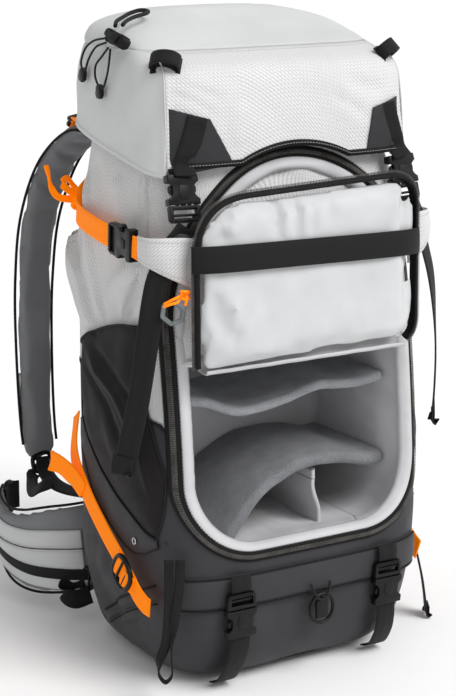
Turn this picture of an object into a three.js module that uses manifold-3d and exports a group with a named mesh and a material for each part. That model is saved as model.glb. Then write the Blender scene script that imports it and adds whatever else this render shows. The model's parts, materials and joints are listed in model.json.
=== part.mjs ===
// Hiking camera backpack: panelled body, hinged lid hood, fold-up camera door, divider box,
// harness and buckles.
// Millimetres, +Z up, front of the bag towards -Y, wearer's back at +Y. Origin: centre of the flat base.
import * as THREE from 'three';
import { mergeVertices } from 'three/addons/utils/BufferGeometryUtils.js';
import Module from 'manifold-3d';

const wasm = await Module();
wasm.setup();

// ---- driving dimensions ----
const GAP = 0.3; // clearance between neighbouring pieces
const WALL = 6; // padded body fabric
const BASE_THICK = 10;
const BODY_TOP = 600;
const AROUND = 56; // points round a body section
const CORNER = 4.5; // superellipse power of the body's plan section
// Body sections: height, half width, front y, back y
const BODY = [
  [0, 122, -92, 100],
  [12, 142, -118, 114],
  [42, 158, -138, 120],
  [105, 169, -148, 122],
  [165, 172, -150, 122],
  [260, 172, -144, 122],
  [355, 171, -134, 122],
  [450, 167, -122, 122],
  [535, 157, -110, 120],
  [568, 151, -100, 118],
  [BODY_TOP, 144, -90, 113],
];
// Lid sections: height, half width, front y, back y, superellipse power
const LID = [
  [540, 163, -112, 121, 6],
  [606, 161, -108, 121, 6],
  [640, 160, -104, 122, 6],
  [662, 158, -99, 122, 6],
  [675, 155, -88, 122, 5.6],
  [685, 151, -60, 122, 5.2],
  [698, 145, -16, 120, 5],
  [708, 136, 14, 117, 4.6],
  [716, 116, 40, 110, 4],
  [722, 84, 58, 100, 3.4],
];
const LID_LEVELS = [540, 560, 582, 606, 626, 645, 662, 676, 686, 694, 702, 708, 714, 718, 722];
const LID_WALL = 7;
// Camera opening: half width, sill height, fold line height, arch top height, sill corner radius
const OPENING = { half: 148, sill: 160, fold: 355, shoulder: 405, top: 574, corner: 78 };
const FRONT_CUT = -88; // front panels lie before this y
// Height of the dark lower fabric beside the zip, at the front corners and at the back
const BOOT = { front: 285, corner: 307, back: 335 };
const BACK_CUT = 96; // back panel lies behind this y
// Camera box and its padded dividers
const BOX = { half: 136, low: 146, high: 430, front: -103, back: 48, wall: 6 };
// Fold-up camera door
const DOOR = { half: 140, height: 190, thick: 18, y: -147, z: 357, lean: 3, rise: 4, corner: 58 };
const POCKET_SWELL = 15; // how far the side pockets stand out
const WEB = 25; // webbing width
const WEB_THICK = 1.8;

const COLOURS = {
  ripstop: [0xd6d6d6, 0.85],
  smooth: [0xcccecd, 0.7],
  dark: [0x47464a, 0.8],
  stretch: [0x333236, 0.9],
  pad: [0x4a4b4e, 0.9],
  lining: [0xd9d9d9, 0.5],
  foam: [0x77797d, 0.95],
  webbing: [0x2c2c2c, 0.85],
  orange: [0xff8c00, 0.75],
  plastic: [0x1c1c1e, 0.4],
  aluminium: [0xb8bcc0, 0.35],
};

// ---- numbers and vectors ----
const V = (x, y, z) => new THREE.Vector3(x, y, z);

// Row of a table at a height, by cubic Hermite interpolation.
function rowAt(table, z) {
  let i = 0;
  while (i < table.length - 2 && z > table[i + 1][0]) i++;
  const [a, b] = [table[i], table[i + 1]];
  const before = table[Math.max(i - 1, 0)];
  const after = table[Math.min(i + 2, table.length - 1)];
  const t = THREE.MathUtils.clamp((z - a[0]) / (b[0] - a[0]), 0, 1);
  const span = b[0] - a[0];
  return a.slice(1).map((_, k) => {
    const c = k + 1;
    const slopeA = ((b[c] - before[c]) / (b[0] - before[0])) * span;
    const slopeB = ((after[c] - a[c]) / (after[0] - a[0])) * span;
    const [t2, t3] = [t * t, t * t * t];
    const ends = (2 * t3 - 3 * t2 + 1) * a[c] + (3 * t2 - 2 * t3) * b[c];
    return ends + (t3 - 2 * t2 + t) * slopeA + (t3 - t2) * slopeB;
  });
}

const signedPower = (v, p) => Math.sign(v) * Math.abs(v) ** p;

// Closed section of a soft box: a superellipse between a front and a back.
function section(z, half, front, back, power, inset = 0) {
  const middle = (front + back) / 2;
  const depth = (back - front) / 2 - inset;
  return Array.from({ length: AROUND }, (_, k) => {
    const a = (2 * Math.PI * k) / AROUND;
    return V(
      (half - inset) * signedPower(Math.cos(a), 2 / power),
      middle + depth * signedPower(Math.sin(a), 2 / power),
      z,
    );
  });
}

const bodySection = (z, inset = 0) => section(z, ...rowAt(BODY, z), CORNER, inset);

// Point on the body's skin at an angle (0 is +X, 90 is the back) and a height, moved out by a distance.
function around(degrees, z, out) {
  const [half, front, back] = rowAt(BODY, z);
  const a = THREE.MathUtils.degToRad(degrees);
  const x = (half + out) * signedPower(Math.cos(a), 2 / CORNER);
  const y = ((back - front) / 2 + out) * signedPower(Math.sin(a), 2 / CORNER);
  return V(x, (front + back) / 2 + y, z);
}

// Front surface of the body at x and z, moved out by a distance.
function frontY(x, z, out = 0) {
  const [half, front, back] = rowAt(BODY, z);
  const share = Math.min(Math.abs(x) / (half + out), 0.999);
  const depth = (back - front) / 2 + out;
  return (front + back) / 2 - depth * (1 - share ** CORNER) ** (1 / CORNER);
}

// ---- geometry ----
// Straight extrusion of a shape along z.
function extruded(shape, depth, curveSegments = 12) {
  return new THREE.ExtrudeGeometry(shape, { depth, bevelEnabled: false, curveSegments });
}

// Closed skin through a list of sections with equal point counts; loop joins the last section to the first.
function loft(sections, loop = false) {
  const n = sections[0].length;
  const position = sections.flat().flatMap((p) => [p.x, p.y, p.z]);
  const index = [];
  const rows = sections.length;
  for (let i = 0; i < (loop ? rows : rows - 1); i++) {
    for (let k = 0; k < n; k++) {
      const [a, b] = [i * n + k, i * n + ((k + 1) % n)];
      const [c, d] = [((i + 1) % rows) * n + k, ((i + 1) % rows) * n + ((k + 1) % n)];
      index.push(a, b, d, a, d, c);
    }
  }
  if (!loop) {
    const cap = (row, turned) => {
      const centre = position.length / 3;
      const middle = sections[row].reduce((s, p) => s.add(p), V(0, 0, 0)).divideScalar(n);
      position.push(middle.x, middle.y, middle.z);
      for (let k = 0; k < n; k++) {
        const [a, b] = [row * n + k, row * n + ((k + 1) % n)];
        index.push(...(turned ? [centre, b, a] : [centre, a, b]));
      }
    };
    cap(0, true);
    cap(rows - 1, false);
  }
  const geometry = new THREE.BufferGeometry();
  geometry.setAttribute('position', new THREE.Float32BufferAttribute(position, 3));
  geometry.setIndex(index);
  return outward(geometry);
}

// Signed volume of a closed indexed geometry.
function volumeOf(geometry) {
  const p = geometry.getAttribute('position');
  const index = geometry.index.array;
  const [a, b, c] = [V(0, 0, 0), V(0, 0, 0), V(0, 0, 0)];
  let sum = 0;
  for (let i = 0; i < index.length; i += 3) {
    a.fromBufferAttribute(p, index[i]);
    b.fromBufferAttribute(p, index[i + 1]);
    c.fromBufferAttribute(p, index[i + 2]);
    sum += a.dot(b.cross(c)) / 6;
  }
  return sum;
}

// Turns the faces so that they point out of the body.
function outward(geometry) {
  if (volumeOf(geometry) < 0) {
    const index = Array.from(geometry.index.array);
    for (let i = 0; i < index.length; i += 3) [index[i + 1], index[i + 2]] = [index[i + 2], index[i + 1]];
    geometry.setIndex(index);
  }
  return geometry;
}

function solid(geometry) {
  const bare = geometry.clone();
  for (const name of ['normal', 'uv']) bare.deleteAttribute(name);
  const merged = mergeVertices(bare, 1e-3);
  return new wasm.Manifold(
    new wasm.Mesh({
      numProp: 3,
      vertProperties: new Float32Array(merged.getAttribute('position').array),
      triVerts: new Uint32Array(merged.index.array),
    }),
  );
}

function geometryOf(manifold) {
  const mesh = manifold.getMesh();
  const geometry = new THREE.BufferGeometry();
  geometry.setAttribute('position', new THREE.BufferAttribute(mesh.vertProperties, 3));
  geometry.setIndex(new THREE.BufferAttribute(mesh.triVerts, 1));
  return geometry;
}

// Box between two corners.
function box(x0, y0, z0, x1, y1, z1) {
  const geometry = new THREE.BoxGeometry(x1 - x0, y1 - y0, z1 - z0);
  return solid(geometry.translate((x0 + x1) / 2, (y0 + y1) / 2, (z0 + z1) / 2));
}

// Outline in the XZ plane, extruded along Y from y0 to y1.
function prismXZ(shape, y0, y1) {
  const geometry = extruded(shape, y1 - y0, 10);
  return solid(geometry.rotateX(Math.PI / 2).translate(0, y1, 0));
}

// Outline in the YZ plane, extruded along X from x0 to x1.
function prismYZ(shape, x0, x1) {
  const geometry = extruded(shape, x1 - x0, 8);
  const turn = new THREE.Matrix4().makeBasis(V(0, 1, 0), V(0, 0, 1), V(1, 0, 0));
  return solid(geometry.applyMatrix4(turn).translate(x0, 0, 0));
}

// Rounded rectangle centred on the origin of its plane.
function roundedRect(width, height, radius) {
  const [w, h] = [width / 2, height / 2];
  return new THREE.Shape()
    .moveTo(-w + radius, -h)
    .lineTo(w - radius, -h)
    .absarc(w - radius, -h + radius, radius, -Math.PI / 2, 0)
    .lineTo(w, h - radius)
    .absarc(w - radius, h - radius, radius, 0, Math.PI / 2)
    .lineTo(-w + radius, h)
    .absarc(-w + radius, h - radius, radius, Math.PI / 2, Math.PI)
    .lineTo(-w, -h + radius)
    .absarc(-w + radius, -h + radius, radius, Math.PI, Math.PI * 1.5);
}

// Flat strap along a smooth path: across gives the strap's width direction at a share 0 to 1 of the way.
function ribbon(points, across, width, thick, steps) {
  const curve = new THREE.CatmullRomCurve3(points, false, 'centripetal');
  const sections = Array.from({ length: steps + 1 }, (_, i) => {
    const t = i / steps;
    const p = curve.getPointAt(t);
    const along = curve.getTangentAt(t);
    const side = across(t).clone();
    side.addScaledVector(along, -side.dot(along)).normalize();
    const normal = V(0, 0, 0).crossVectors(along, side);
    const w = (typeof width === 'function' ? width(t) : width) / 2;
    const h = (typeof thick === 'function' ? thick(t) : thick) / 2;
    return [
      [-w, -h],
      [w, -h],
      [w, h],
      [-w, h],
    ].map(([a, b]) => p.clone().addScaledVector(side, a).addScaledVector(normal, b));
  });
  return loft(sections);
}

// Soft pad along a path: like ribbon, with an oval section.
function padAlong(points, across, width, thick, steps) {
  const curve = new THREE.CatmullRomCurve3(points, false, 'centripetal');
  const sides = 10;
  const sections = Array.from({ length: steps + 1 }, (_, i) => {
    const t = i / steps;
    const p = curve.getPointAt(t);
    const along = curve.getTangentAt(t);
    const side = across(t).clone();
    side.addScaledVector(along, -side.dot(along)).normalize();
    const normal = V(0, 0, 0).crossVectors(along, side);
    return Array.from({ length: sides }, (_, k) => {
      const a = (2 * Math.PI * k) / sides;
      const w = (width(t) / 2) * signedPower(Math.cos(a), 0.6);
      const h = (thick(t) / 2) * signedPower(Math.sin(a), 0.6);
      return p.clone().addScaledVector(side, w).addScaledVector(normal, h);
    });
  });
  return loft(sections);
}

// Round cord along a smooth path.
function cord(points, diameter, steps) {
  const shape = new THREE.Shape();
  const sides = 8;
  for (let k = 0; k < sides; k++) {
    const a = (2 * Math.PI * k) / sides;
    const [x, y] = [(diameter / 2) * Math.cos(a), (diameter / 2) * Math.sin(a)];
    if (k === 0) shape.moveTo(x, y);
    else shape.lineTo(x, y);
  }
  const extrudePath = new THREE.CatmullRomCurve3(points, false, 'centripetal');
  return new THREE.ExtrudeGeometry(shape, { steps, extrudePath });
}

const root = new THREE.Group();

function add(name, geometry, colour) {
  const [color, roughness] = COLOURS[colour];
  const metalness = colour === 'aluminium' ? 0.9 : 0;
  const mesh = new THREE.Mesh(geometry, new THREE.MeshStandardMaterial({ color, roughness, metalness }));
  mesh.name = name;
  root.add(mesh);
  return mesh;
}

// Adds a piece and its mirror image on the other side of the bag.
function addPair(name, geometry, colour) {
  add(`${name}_left`, geometry, colour);
  const mirrored = geometry.index ? geometry.clone() : mergeVertices(geometry.clone());
  mirrored.scale(-1, 1, 1);
  add(`${name}_right`, outward(mirrored), colour);
}

// ---- body panels: one shell, cut along its seams ----
const levels = [
  0, 6, 14, 28, 50, 80, 110, 140, 165, 200, 235, 270, 310, 355, 400, 450, 495, 535, 560, 582, BODY_TOP,
];
const outer = solid(loft(levels.map((z) => bodySection(z))));
const innerLevels = [BASE_THICK, ...levels.filter((z) => z > BASE_THICK)];
const inner = solid(loft([
  ...innerLevels.map((z) => bodySection(z, WALL)),
  bodySection(BODY_TOP, WALL).map((p) => V(p.x, p.y, p.z + 5)),
]));
const FAR = 400;

// Outline of the camera opening with its arch, shrunk by an inset.
function openingShape(inset, low) {
  const { half, sill, shoulder, top, corner } = OPENING;
  const [w, r] = [half - inset, corner - inset];
  const bottom = low ?? sill + inset;
  const shape = new THREE.Shape();
  if (low === undefined) {
    shape.moveTo(-w + r, bottom).lineTo(w - r, bottom).absarc(w - r, bottom + r, r, -Math.PI / 2, 0);
  } else {
    shape.moveTo(-w, bottom).lineTo(w, bottom);
  }
  shape.lineTo(w, shoulder);
  shape.absellipse(0, shoulder, w, top - inset - shoulder, 0, Math.PI);
  if (low === undefined) {
    shape.lineTo(-w, bottom + r).absarc(-w + r, bottom + r, r, Math.PI, Math.PI * 1.5);
  } else {
    shape.lineTo(-w, bottom);
  }
  return shape;
}

const shell = outer.subtract(inner);
const holeRegion = prismXZ(openingShape(0), -FAR, FRONT_CUT + 20);
// Dark lower fabric: lowest beside the zip, rising round the front corners and along the sides.
function bootRegion(grow) {
  const outline = new THREE.Shape()
    .moveTo(-FAR, BASE_THICK - 1)
    .lineTo(-FAR, BOOT.front + grow)
    .lineTo(-136, BOOT.front + grow)
    .lineTo(-103, BOOT.corner + grow)
    .lineTo(BACK_CUT - GAP + grow, BOOT.back + grow)
    .lineTo(BACK_CUT - GAP + grow, BASE_THICK - 1);
  return prismYZ(outline, -FAR, FAR);
}
const backRegion = box(-FAR, BACK_CUT, BASE_THICK, FAR, FAR, BODY_TOP + 1);
const frame = shell.subtract(holeRegion);

const basePlate = shell.intersect(box(-FAR, -FAR, -1, FAR, FAR, BASE_THICK - GAP));
add('base_boot', geometryOf(basePlate.add(frame.intersect(bootRegion(0)))), 'dark');
add('back_panel', geometryOf(shell.intersect(backRegion)), 'dark');
add(
  'front_panel_upper',
  geometryOf(shell.intersect(prismXZ(openingShape(GAP, OPENING.fold + 10), -FAR, FRONT_CUT + 20 - GAP))),
  'ripstop',
);
for (const [name, sign] of [['left', -1], ['right', 1]]) {
  const [from, to] = sign < 0 ? [-FAR, -GAP / 2] : [GAP / 2, FAR];
  const half = box(from, -FAR, BASE_THICK, to, BACK_CUT - GAP, BODY_TOP + 1);
  add(`side_panel_${name}`, geometryOf(frame.intersect(half).subtract(bootRegion(GAP))), 'ripstop');
}

// ---- camera box and dividers ----
function cameraBox() {
  const { half, low, high, front, back, wall } = BOX;
  return box(-half, front, low, half, back, high).subtract(
    box(-half + wall, front - 1, low + wall, half - wall, back - wall, high - wall),
  );
}
add('camera_box', geometryOf(cameraBox()), 'lining');

// Padded divider: a centre line in XZ, thickened, and as deep as the box.
function divider(line, thick, front) {
  const curve = new THREE.SplineCurve(line.map(([x, z]) => new THREE.Vector2(x, z)));
  const steps = 14;
  const sides = [1, -1].map((sign) =>
    Array.from({ length: steps + 1 }, (_, i) => {
      const p = curve.getPoint(i / steps);
      const along = curve.getTangent(i / steps);
      return new THREE.Vector2(p.x - along.y * sign * (thick / 2), p.y + along.x * sign * (thick / 2));
    }),
  );
  const shape = new THREE.Shape([...sides[0], ...sides[1].reverse()]);
  return prismXZ(shape, front, BOX.back - BOX.wall - GAP);
}
const clear = BOX.wall + GAP;
const inBox = box(-BOX.half + clear, -FAR, BOX.low + clear, BOX.half - clear, FAR, BOX.high);
const upperLine = [[-150, 328], [-110, 318], [-60, 300], [0, 306], [40, 316], [90, 312], [150, 318]];
const lowerLine = [[-88, 140], [-66, 172], [-34, 206], [14, 228], [70, 229], [110, 220], [150, 224]];
add('divider_upper', geometryOf(divider(upperLine, 11, -98).intersect(inBox)), 'foam');
add('divider_lower', geometryOf(divider(lowerLine, 15, -102).intersect(inBox)), 'foam');
const underLower = divider(lowerLine, 15 + 2 * GAP, -FAR);
const smallBoard = divider([[38, 240], [37, 200], [44, 170], [46, 140]], 6, -96)
  .intersect(inBox)
  .subtract(underLower)
  .intersect(box(0, -FAR, 0, FAR, FAR, 221));
add('divider_small', geometryOf(smallBoard), 'lining');

// ---- zip track round the camera opening and its arch ----
function zipTrack() {
  const outline = openingShape(-7).getSpacedPoints(84).slice(0, -1);
  const across = [-5.5, 5.5];
  const centre = new THREE.Vector2(0, (OPENING.sill + OPENING.top) / 2);
  const sections = outline.map((p, i) => {
    const [before, after] = [outline.at(i - 1), outline[(i + 1) % outline.length]];
    const side = new THREE.Vector2(after.y - before.y, before.x - after.x).normalize();
    if (side.dot(p.clone().sub(centre)) < 0) side.negate();
    const edge = (u, out) => {
      const [x, z] = [p.x + side.x * u, p.y + side.y * u];
      return V(x, frontY(x, z, 0) - out, z);
    };
    return [edge(across[0], 0.6), edge(across[1], 0.6), edge(across[1], 4), edge(across[0], 4)];
  });
  return loft(sections, true);
}
const track = solid(zipTrack()).subtract(solid(loft(levels.map((z) => bodySection(z, -GAP)))));
const trackBodies = track.decompose().sort((a, b) => b.volume() - a.volume());
add('zip_track', geometryOf(trackBodies[0]), 'webbing');

// ---- zip slider on the left straight of the track ----
const SLIDER = { x: -(OPENING.half + 7), z: 434, travel: 50, lift: 5.2 };
{
  const { x, z, travel, lift } = SLIDER;
  const body = box(-4.5, -8, 0, 4.5, 8, 3.2).add(box(-2.5, -6, 3, 2.5, 6, 6));
  const plate = extruded(roundedRect(8, 22, 3), 2, 4);
  const pull = solid(plate.translate(0, -14, 3.6));
  const up = V(0, frontY(x, z) - frontY(x, z - travel), travel).normalize();
  const slope = (frontY(x - 2, z) - frontY(x + 2, z)) / -4;
  const side = V(1, slope, 0).normalize();
  const out = V(0, 0, 0).crossVectors(side, up);
  const seat = new THREE.Matrix4().makeBasis(side, up, out);
  seat.setPosition(V(x, frontY(x, z), z).addScaledVector(out, lift));
  add('zip_slider', geometryOf(body.add(pull)).applyMatrix4(seat), 'plastic');
}

// ---- camera door, folded up in front of the arch ----
const doorFrame = new THREE.Matrix4()
  .makeRotationX(THREE.MathUtils.degToRad(-DOOR.lean))
  .setPosition(0, DOOR.y, DOOR.z);
{
  const { half, height, thick, rise, corner } = DOOR;
  const outline = new THREE.Shape()
    .moveTo(-half, rise)
    .lineTo(half, rise)
    .lineTo(half, height - corner)
    .absarc(half - corner, height - corner, corner, 0, Math.PI / 2)
    .lineTo(-half + corner, height)
    .absarc(-half + corner, height - corner, corner, Math.PI / 2, Math.PI);
  const edge = 5; // the pad's outline lies this far inside the door's
  const lift = 2.5;
  const panel = prismXZ(outline, -thick / 2, thick / 2);
  const core = panel.scale([1 - edge / half, 1, 1 - (edge + 1) / height]).translate([0, 0, lift]);
  add('door_panel', geometryOf(core).applyMatrix4(doorFrame), 'lining');
  const bandFront = -thick / 2 - 2.2;
  const band = box(-half + edge, bandFront, 100, half - edge, bandFront + 1.6, 138);
  add('door_band', geometryOf(band).applyMatrix4(doorFrame), 'webbing');
}

// ---- side pockets, swelling from the side panels ----
function sidePocket() {
  const outline = new THREE.Shape()
    .moveTo(60, 345)
    .bezierCurveTo(20, 372, -60, 400, -102, 402)
    .bezierCurveTo(-122, 330, -130, 240, -118, 180)
    .bezierCurveTo(-108, 150, -70, 140, -40, 158)
    .bezierCurveTo(10, 195, 48, 260, 60, 345);
  const inflated = levels.map((z) => bodySection(z, -POCKET_SWELL));
  const cut = prismYZ(outline, -FAR, -60);
  const swollen = solid(loft(inflated)).subtract(solid(loft(levels.map((z) => bodySection(z, -GAP)))));
  return swollen.intersect(cut).subtract(prismXZ(openingShape(-19), -FAR, 0));
}
addPair('side_pocket', geometryOf(sidePocket()), 'stretch');

// ---- rain cover pocket flap along the lower front ----
{
  const skin = solid(loft(levels.map((z) => bodySection(z, -GAP))));
  const grown = solid(loft(levels.map((z) => bodySection(z, -4)))).subtract(skin);
  add('rain_pocket_flap', geometryOf(grown.intersect(box(-150, -FAR, 98, 150, -110, 124))), 'dark');
}

// ---- back padding and lumbar pad ----
{
  const pad = extruded(roundedRect(180, 330, 40), 10, 6)
    .rotateX(Math.PI / 2).translate(0, 133, 375);
  add('back_pad', pad, 'pad');
  const curve = [V(-100, 134, 92), V(0, 138, 96), V(100, 134, 92)];
  const lumbar = padAlong(curve, () => V(0, 0, 1), () => 108, () => 22, 10);
  add('lumbar_pad', lumbar, 'pad');
}

// ---- buckles: x along the strap, y across it, z through its thickness ----
const BUCKLE = { width: 36, thick: 11, socket: 31, plug: 18, prong: 21 };

// Socket: open towards +x for the plug, with side windows and a webbing slot behind.
function buckleSocket(openBack = false) {
  const { width: w, thick: t, socket: l } = BUCKLE;
  const shell = extruded(roundedRect(l, w, 5), t, 3).translate(-l / 2, 0, -t / 2);
  let body = solid(shell).subtract(box(-l + 9, -w / 2 + 4.5, -t / 2 + 2.2, 1, w / 2 - 4.5, t / 2 - 2.2));
  if (openBack) body = body.subtract(box(-l + 8.5, -w / 2 + 4, -t, 1, w / 2 - 4, 1));
  body = body.subtract(box(-l + 11, -w, -1.6, -11, w, 1.6));
  return body.subtract(box(-l + 2.4, -w / 2 + 4, -t, -l + 6.4, w / 2 - 4, t));
}

// Plug: base with two webbing slots, a centre guide and two prongs towards -x.
function bucklePlug() {
  const { width: w, thick: t, plug: l, prong } = BUCKLE;
  const base = solid(extruded(roundedRect(l, w - 1, 4), t - 3, 3).translate(l / 2 + 0.5, 0, -(t - 3) / 2));
  const guide = box(-prong + 6, -3, -1.8, 2, 3, 1.8);
  const prongs = [[-12.5, -8], [8, 12.5]].map(([from, to]) => box(-prong, from, -2.2, 2, to, 2.2));
  const slots = [5.5, 12].map((x) => box(x, -w / 2 + 4, -t, x + 3.4, w / 2 - 4, t));
  let plug = base.add(guide);
  for (const p of prongs) plug = plug.add(p);
  for (const s of slots) plug = plug.subtract(s);
  return plug;
}

// Placing matrix: local x along, z out of the strap's face.
function place(at, along, out) {
  const x = along.clone().normalize();
  const z = out.clone().addScaledVector(x, -out.dot(x)).normalize();
  const y = V(0, 0, 0).crossVectors(z, x);
  return new THREE.Matrix4().makeBasis(x, y, z).setPosition(at);
}

// ---- side compression straps ----
{
  const z = 492;
  const socketAt = V(-176.5, -42, z);
  const along = V(0, 1, 0.04);
  const matrix = place(socketAt, along, V(-1, 0, 0));
  addPair('side_buckle_socket', geometryOf(buckleSocket()).applyMatrix4(matrix), 'plastic');
  addPair('side_buckle_plug', geometryOf(bucklePlug()).applyMatrix4(matrix), 'plastic');
  const rear = [
    V(-177, -21, z + 1),
    V(-176, 10, z + 4),
    around(162, z + 12, 9),
    around(146, z + 22, 6),
    around(130, z + 32, 5),
  ];
  addPair('side_strap', ribbon(rear, () => V(0, 0.1, 1), WEB, WEB_THICK, 14), 'orange');
  const front = [
    V(-176.5, -74.5, z - 2),
    V(-174, -88, z - 4),
    around(212, z - 8, 12),
    around(220, z - 11, 10.5),
  ];
  addPair('side_tab', ribbon(front, () => V(0, 0, 1), (t) => WEB + 12 * t, 2.2, 10), 'ripstop');
}

// ---- lower straps with ladder locks ----
{
  const grip = V(-178.5, -46, 122);
  const along = V(0, 0.72, 0.62);
  const matrix = place(grip, along, V(-1, 0, 0));
  const rim = extruded(roundedRect(40, 38, 9), 5, 4);
  let lock = solid(rim.translate(0, 0, -2.5));
  for (const x of [-15, -5, 6]) lock = lock.subtract(box(x, -13.5, -9, x + 8, 13.5, 9));
  addPair('ladder_lock', geometryOf(lock).applyMatrix4(matrix), 'plastic');
  const path = [
    V(-178.5, -30.6, 135.3),
    V(-179, 0, 162),
    V(-178, 40, 192),
    V(-170, 84, 224),
    V(-154, 110, 262),
  ];
  addPair('lower_strap', ribbon(path, () => V(0, -0.6, 0.8), WEB, WEB_THICK, 12), 'orange');
}

// ---- straps under the base with their buckles ----
{
  const at = V(-96, -156.5, 100);
  const along = V(0, -0.02, 1);
  const matrix = place(at, along, V(0, -1, 0));
  addPair('bottom_buckle_socket', geometryOf(buckleSocket()).applyMatrix4(matrix), 'plastic');
  addPair('bottom_buckle_plug', geometryOf(bucklePlug()).applyMatrix4(matrix), 'plastic');
  const path = [
    V(-96, -156, 68.2),
    V(-97, -154, 50),
    V(-99, -146, 30),
    V(-101, -129, 9),
    V(-101, -118, 4.2),
  ];
  addPair('bottom_strap', ribbon(path, () => V(1, 0, 0), WEB, WEB_THICK, 10), 'webbing');
}

// ---- lid straps' lower halves on the body: plug, webbing and hanging tail ----
{
  const at = V(-139.5, -113, 537);
  const along = V(-0.05, -0.3, -1);
  const matrix = place(at, along, V(-0.06, -1, 0));
  addPair('lid_buckle_socket', geometryOf(buckleSocket(true)).applyMatrix4(matrix), 'plastic');
  addPair('lid_buckle_plug', geometryOf(bucklePlug()).applyMatrix4(matrix), 'plastic');
  const under = [around(215, 494, 5.8), around(213.5, 476, 5.2), around(210.5, 455, 7)];
  const tail = [V(-142, -121, 515), ...under, V(-187, -100, 412), V(-196, -94, 345), V(-201, -84, 246)];
  const across = (t) => V(1, 0, 0).lerp(V(0.6, -0.8, 0), Math.min(t * 6, 1));
  addPair('lid_tail', ribbon(tail, across, WEB, WEB_THICK, 22), 'webbing');
}

// ---- gear loop at the lower left, hanging tail at the lower right ----
function gearLoop() {
  const outline = new THREE.Shape()
    .moveTo(-14, 0)
    .lineTo(-11, -90)
    .bezierCurveTo(-18, -110, -14, -132, 0, -132)
    .bezierCurveTo(14, -132, 16, -110, 9, -90)
    .lineTo(12, 0);
  outline.holes.push(new THREE.Path().moveTo(-2, -78).bezierCurveTo(-12, -98, -12, -128, 0, -128)
    .bezierCurveTo(11, -128, 10, -98, -2, -78));
  return extruded(outline, 4, 6);
}
{
  const level = V(0.85, -0.5, 0).normalize();
  const up = V(0.05, 0.08, 1).normalize();
  const out = V(-0.5, -0.85, 0.07).normalize();
  const seat = new THREE.Matrix4().makeBasis(level, up, out).setPosition(-165, -141, 152);
  add('gear_loop', geometryOf(solid(gearLoop())).applyMatrix4(seat), 'webbing');
  const tail = [V(184, -62, 106), V(198, -68, 92), V(207, -72, 60), V(212, -74, 30), V(215, -75, 6)];
  add('hanging_tail', ribbon(tail, () => V(0.6, 1, 0), WEB, WEB_THICK, 12), 'webbing');
}

// ---- lid hood: domed cap with a skirt that covers the body's top ----
const lidSection = (z, inset = 0) => {
  const [half, front, back, power] = rowAt(LID, z);
  return section(z, half, front, back, power, inset);
};
// Point on the lid's skin at an angle and a height, moved out by a distance.
function aroundLid(degrees, z, out) {
  const [half, front, back, power] = rowAt(LID, z);
  const a = THREE.MathUtils.degToRad(degrees);
  const x = (half + out) * signedPower(Math.cos(a), 2 / power);
  const y = ((back - front) / 2 + out) * signedPower(Math.sin(a), 2 / power);
  return V(x, (front + back) / 2 + y, z);
}

function lidHood() {
  const dome = solid(loft(LID_LEVELS.map((z) => lidSection(z))));
  const hollow = solid(loft([
    ...[530, 550, 568, 585, 600].map((z) => bodySection(z, -2)),
    ...LID_LEVELS.filter((z) => z > BODY_TOP + 10).map((z) => {
      return lidSection(z, LID_WALL).map((p) => p.setZ(z - LID_WALL));
    }),
  ]));
  const skirtCut = new THREE.Shape().moveTo(-FAR, 500).lineTo(FAR, 500).lineTo(FAR, 606).lineTo(118, 606)
    .bezierCurveTo(60, 596, -40, 568, -84, 556).lineTo(-90, 574).lineTo(-FAR, 574);
  const arch = prismXZ(openingShape(-15, 400), -FAR, -60);
  return dome.subtract(hollow).subtract(prismYZ(skirtCut, -FAR, FAR)).subtract(arch);
}
add('lid_hood', geometryOf(lidHood()), 'ripstop');
{
  const path = [V(-125, -107, 632), V(-127, -109.5, 612), V(-131, -111, 592), V(-136, -108.5, 572)];
  addPair('lid_strap', ribbon(path, () => V(1, -0.1, 0), WEB - 3, WEB_THICK, 6), 'webbing');
}

// ---- webbing loops, cord lock, bungee loop and pull cords on the lid ----
{
  const loop = new THREE.Shape(roundedRect(30, 22, 9).getPoints(5));
  loop.holes.push(new THREE.Path(roundedRect(25, 17, 7).getPoints(5)));
  const ring = extruded(loop, 14).translate(0, 11, -7);
  const normal = V(-0.5, -0.55, 0.67).normalize();
  const level = V(0.74, -0.67, 0).normalize();
  const seat = new THREE.Matrix4().makeBasis(level, normal, V(0, 0, 0).crossVectors(level, normal));
  seat.setPosition(aroundLid(226, 677, 2.5));
  addPair('lid_loop', geometryOf(solid(ring)).applyMatrix4(seat), 'webbing');
  const slots = [-9, 4].map((x) => box(x, -8, -1.8, x + 5, 8, 1.8));
  const lock = box(-16, -7, -6, 16, 7, 6).subtract(slots[0]).subtract(slots[1]);
  const lockSeat = place(V(-157, -7, 698), V(0.1, -1, -0.2), V(-0.85, -0.1, 0.5));
  add('cord_lock', geometryOf(lock).applyMatrix4(lockSeat), 'plastic');
  const bungee = [
    [-152, 8, 711.5], [-146, 17, 715], [-132, 30, 718], [-114, 42, 722], [-104, 42, 724],
    [-104, 33, 722], [-124, 18, 719], [-140, 6, 716], [-149, -3, 713],
  ];
  add('bungee_loop', cord(bungee.map((p) => V(...p)), 4.5, 30), 'webbing');
  const rear = [
    [-160, 14, 694], [-163, 32, 688], [-165, 46, 674], [-165, 57, 659],
    [-165, 64, 668], [-164, 56, 684], [-163, 38, 694], [-160, 16, 698.5],
  ];
  const front = [
    [-164, -3, 689], [-165, -2, 676], [-166, 2, 660], [-166, 14, 645],
    [-166, 28, 655], [-166, 28, 668], [-165, 14, 680], [-164, 2, 689.5],
  ];
  add('pull_cord_rear', cord(rear.map((p) => V(...p)), 2.4, 30), 'webbing');
  add('pull_cord_front', cord(front.map((p) => V(...p)), 2.4, 30), 'webbing');
}

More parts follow.
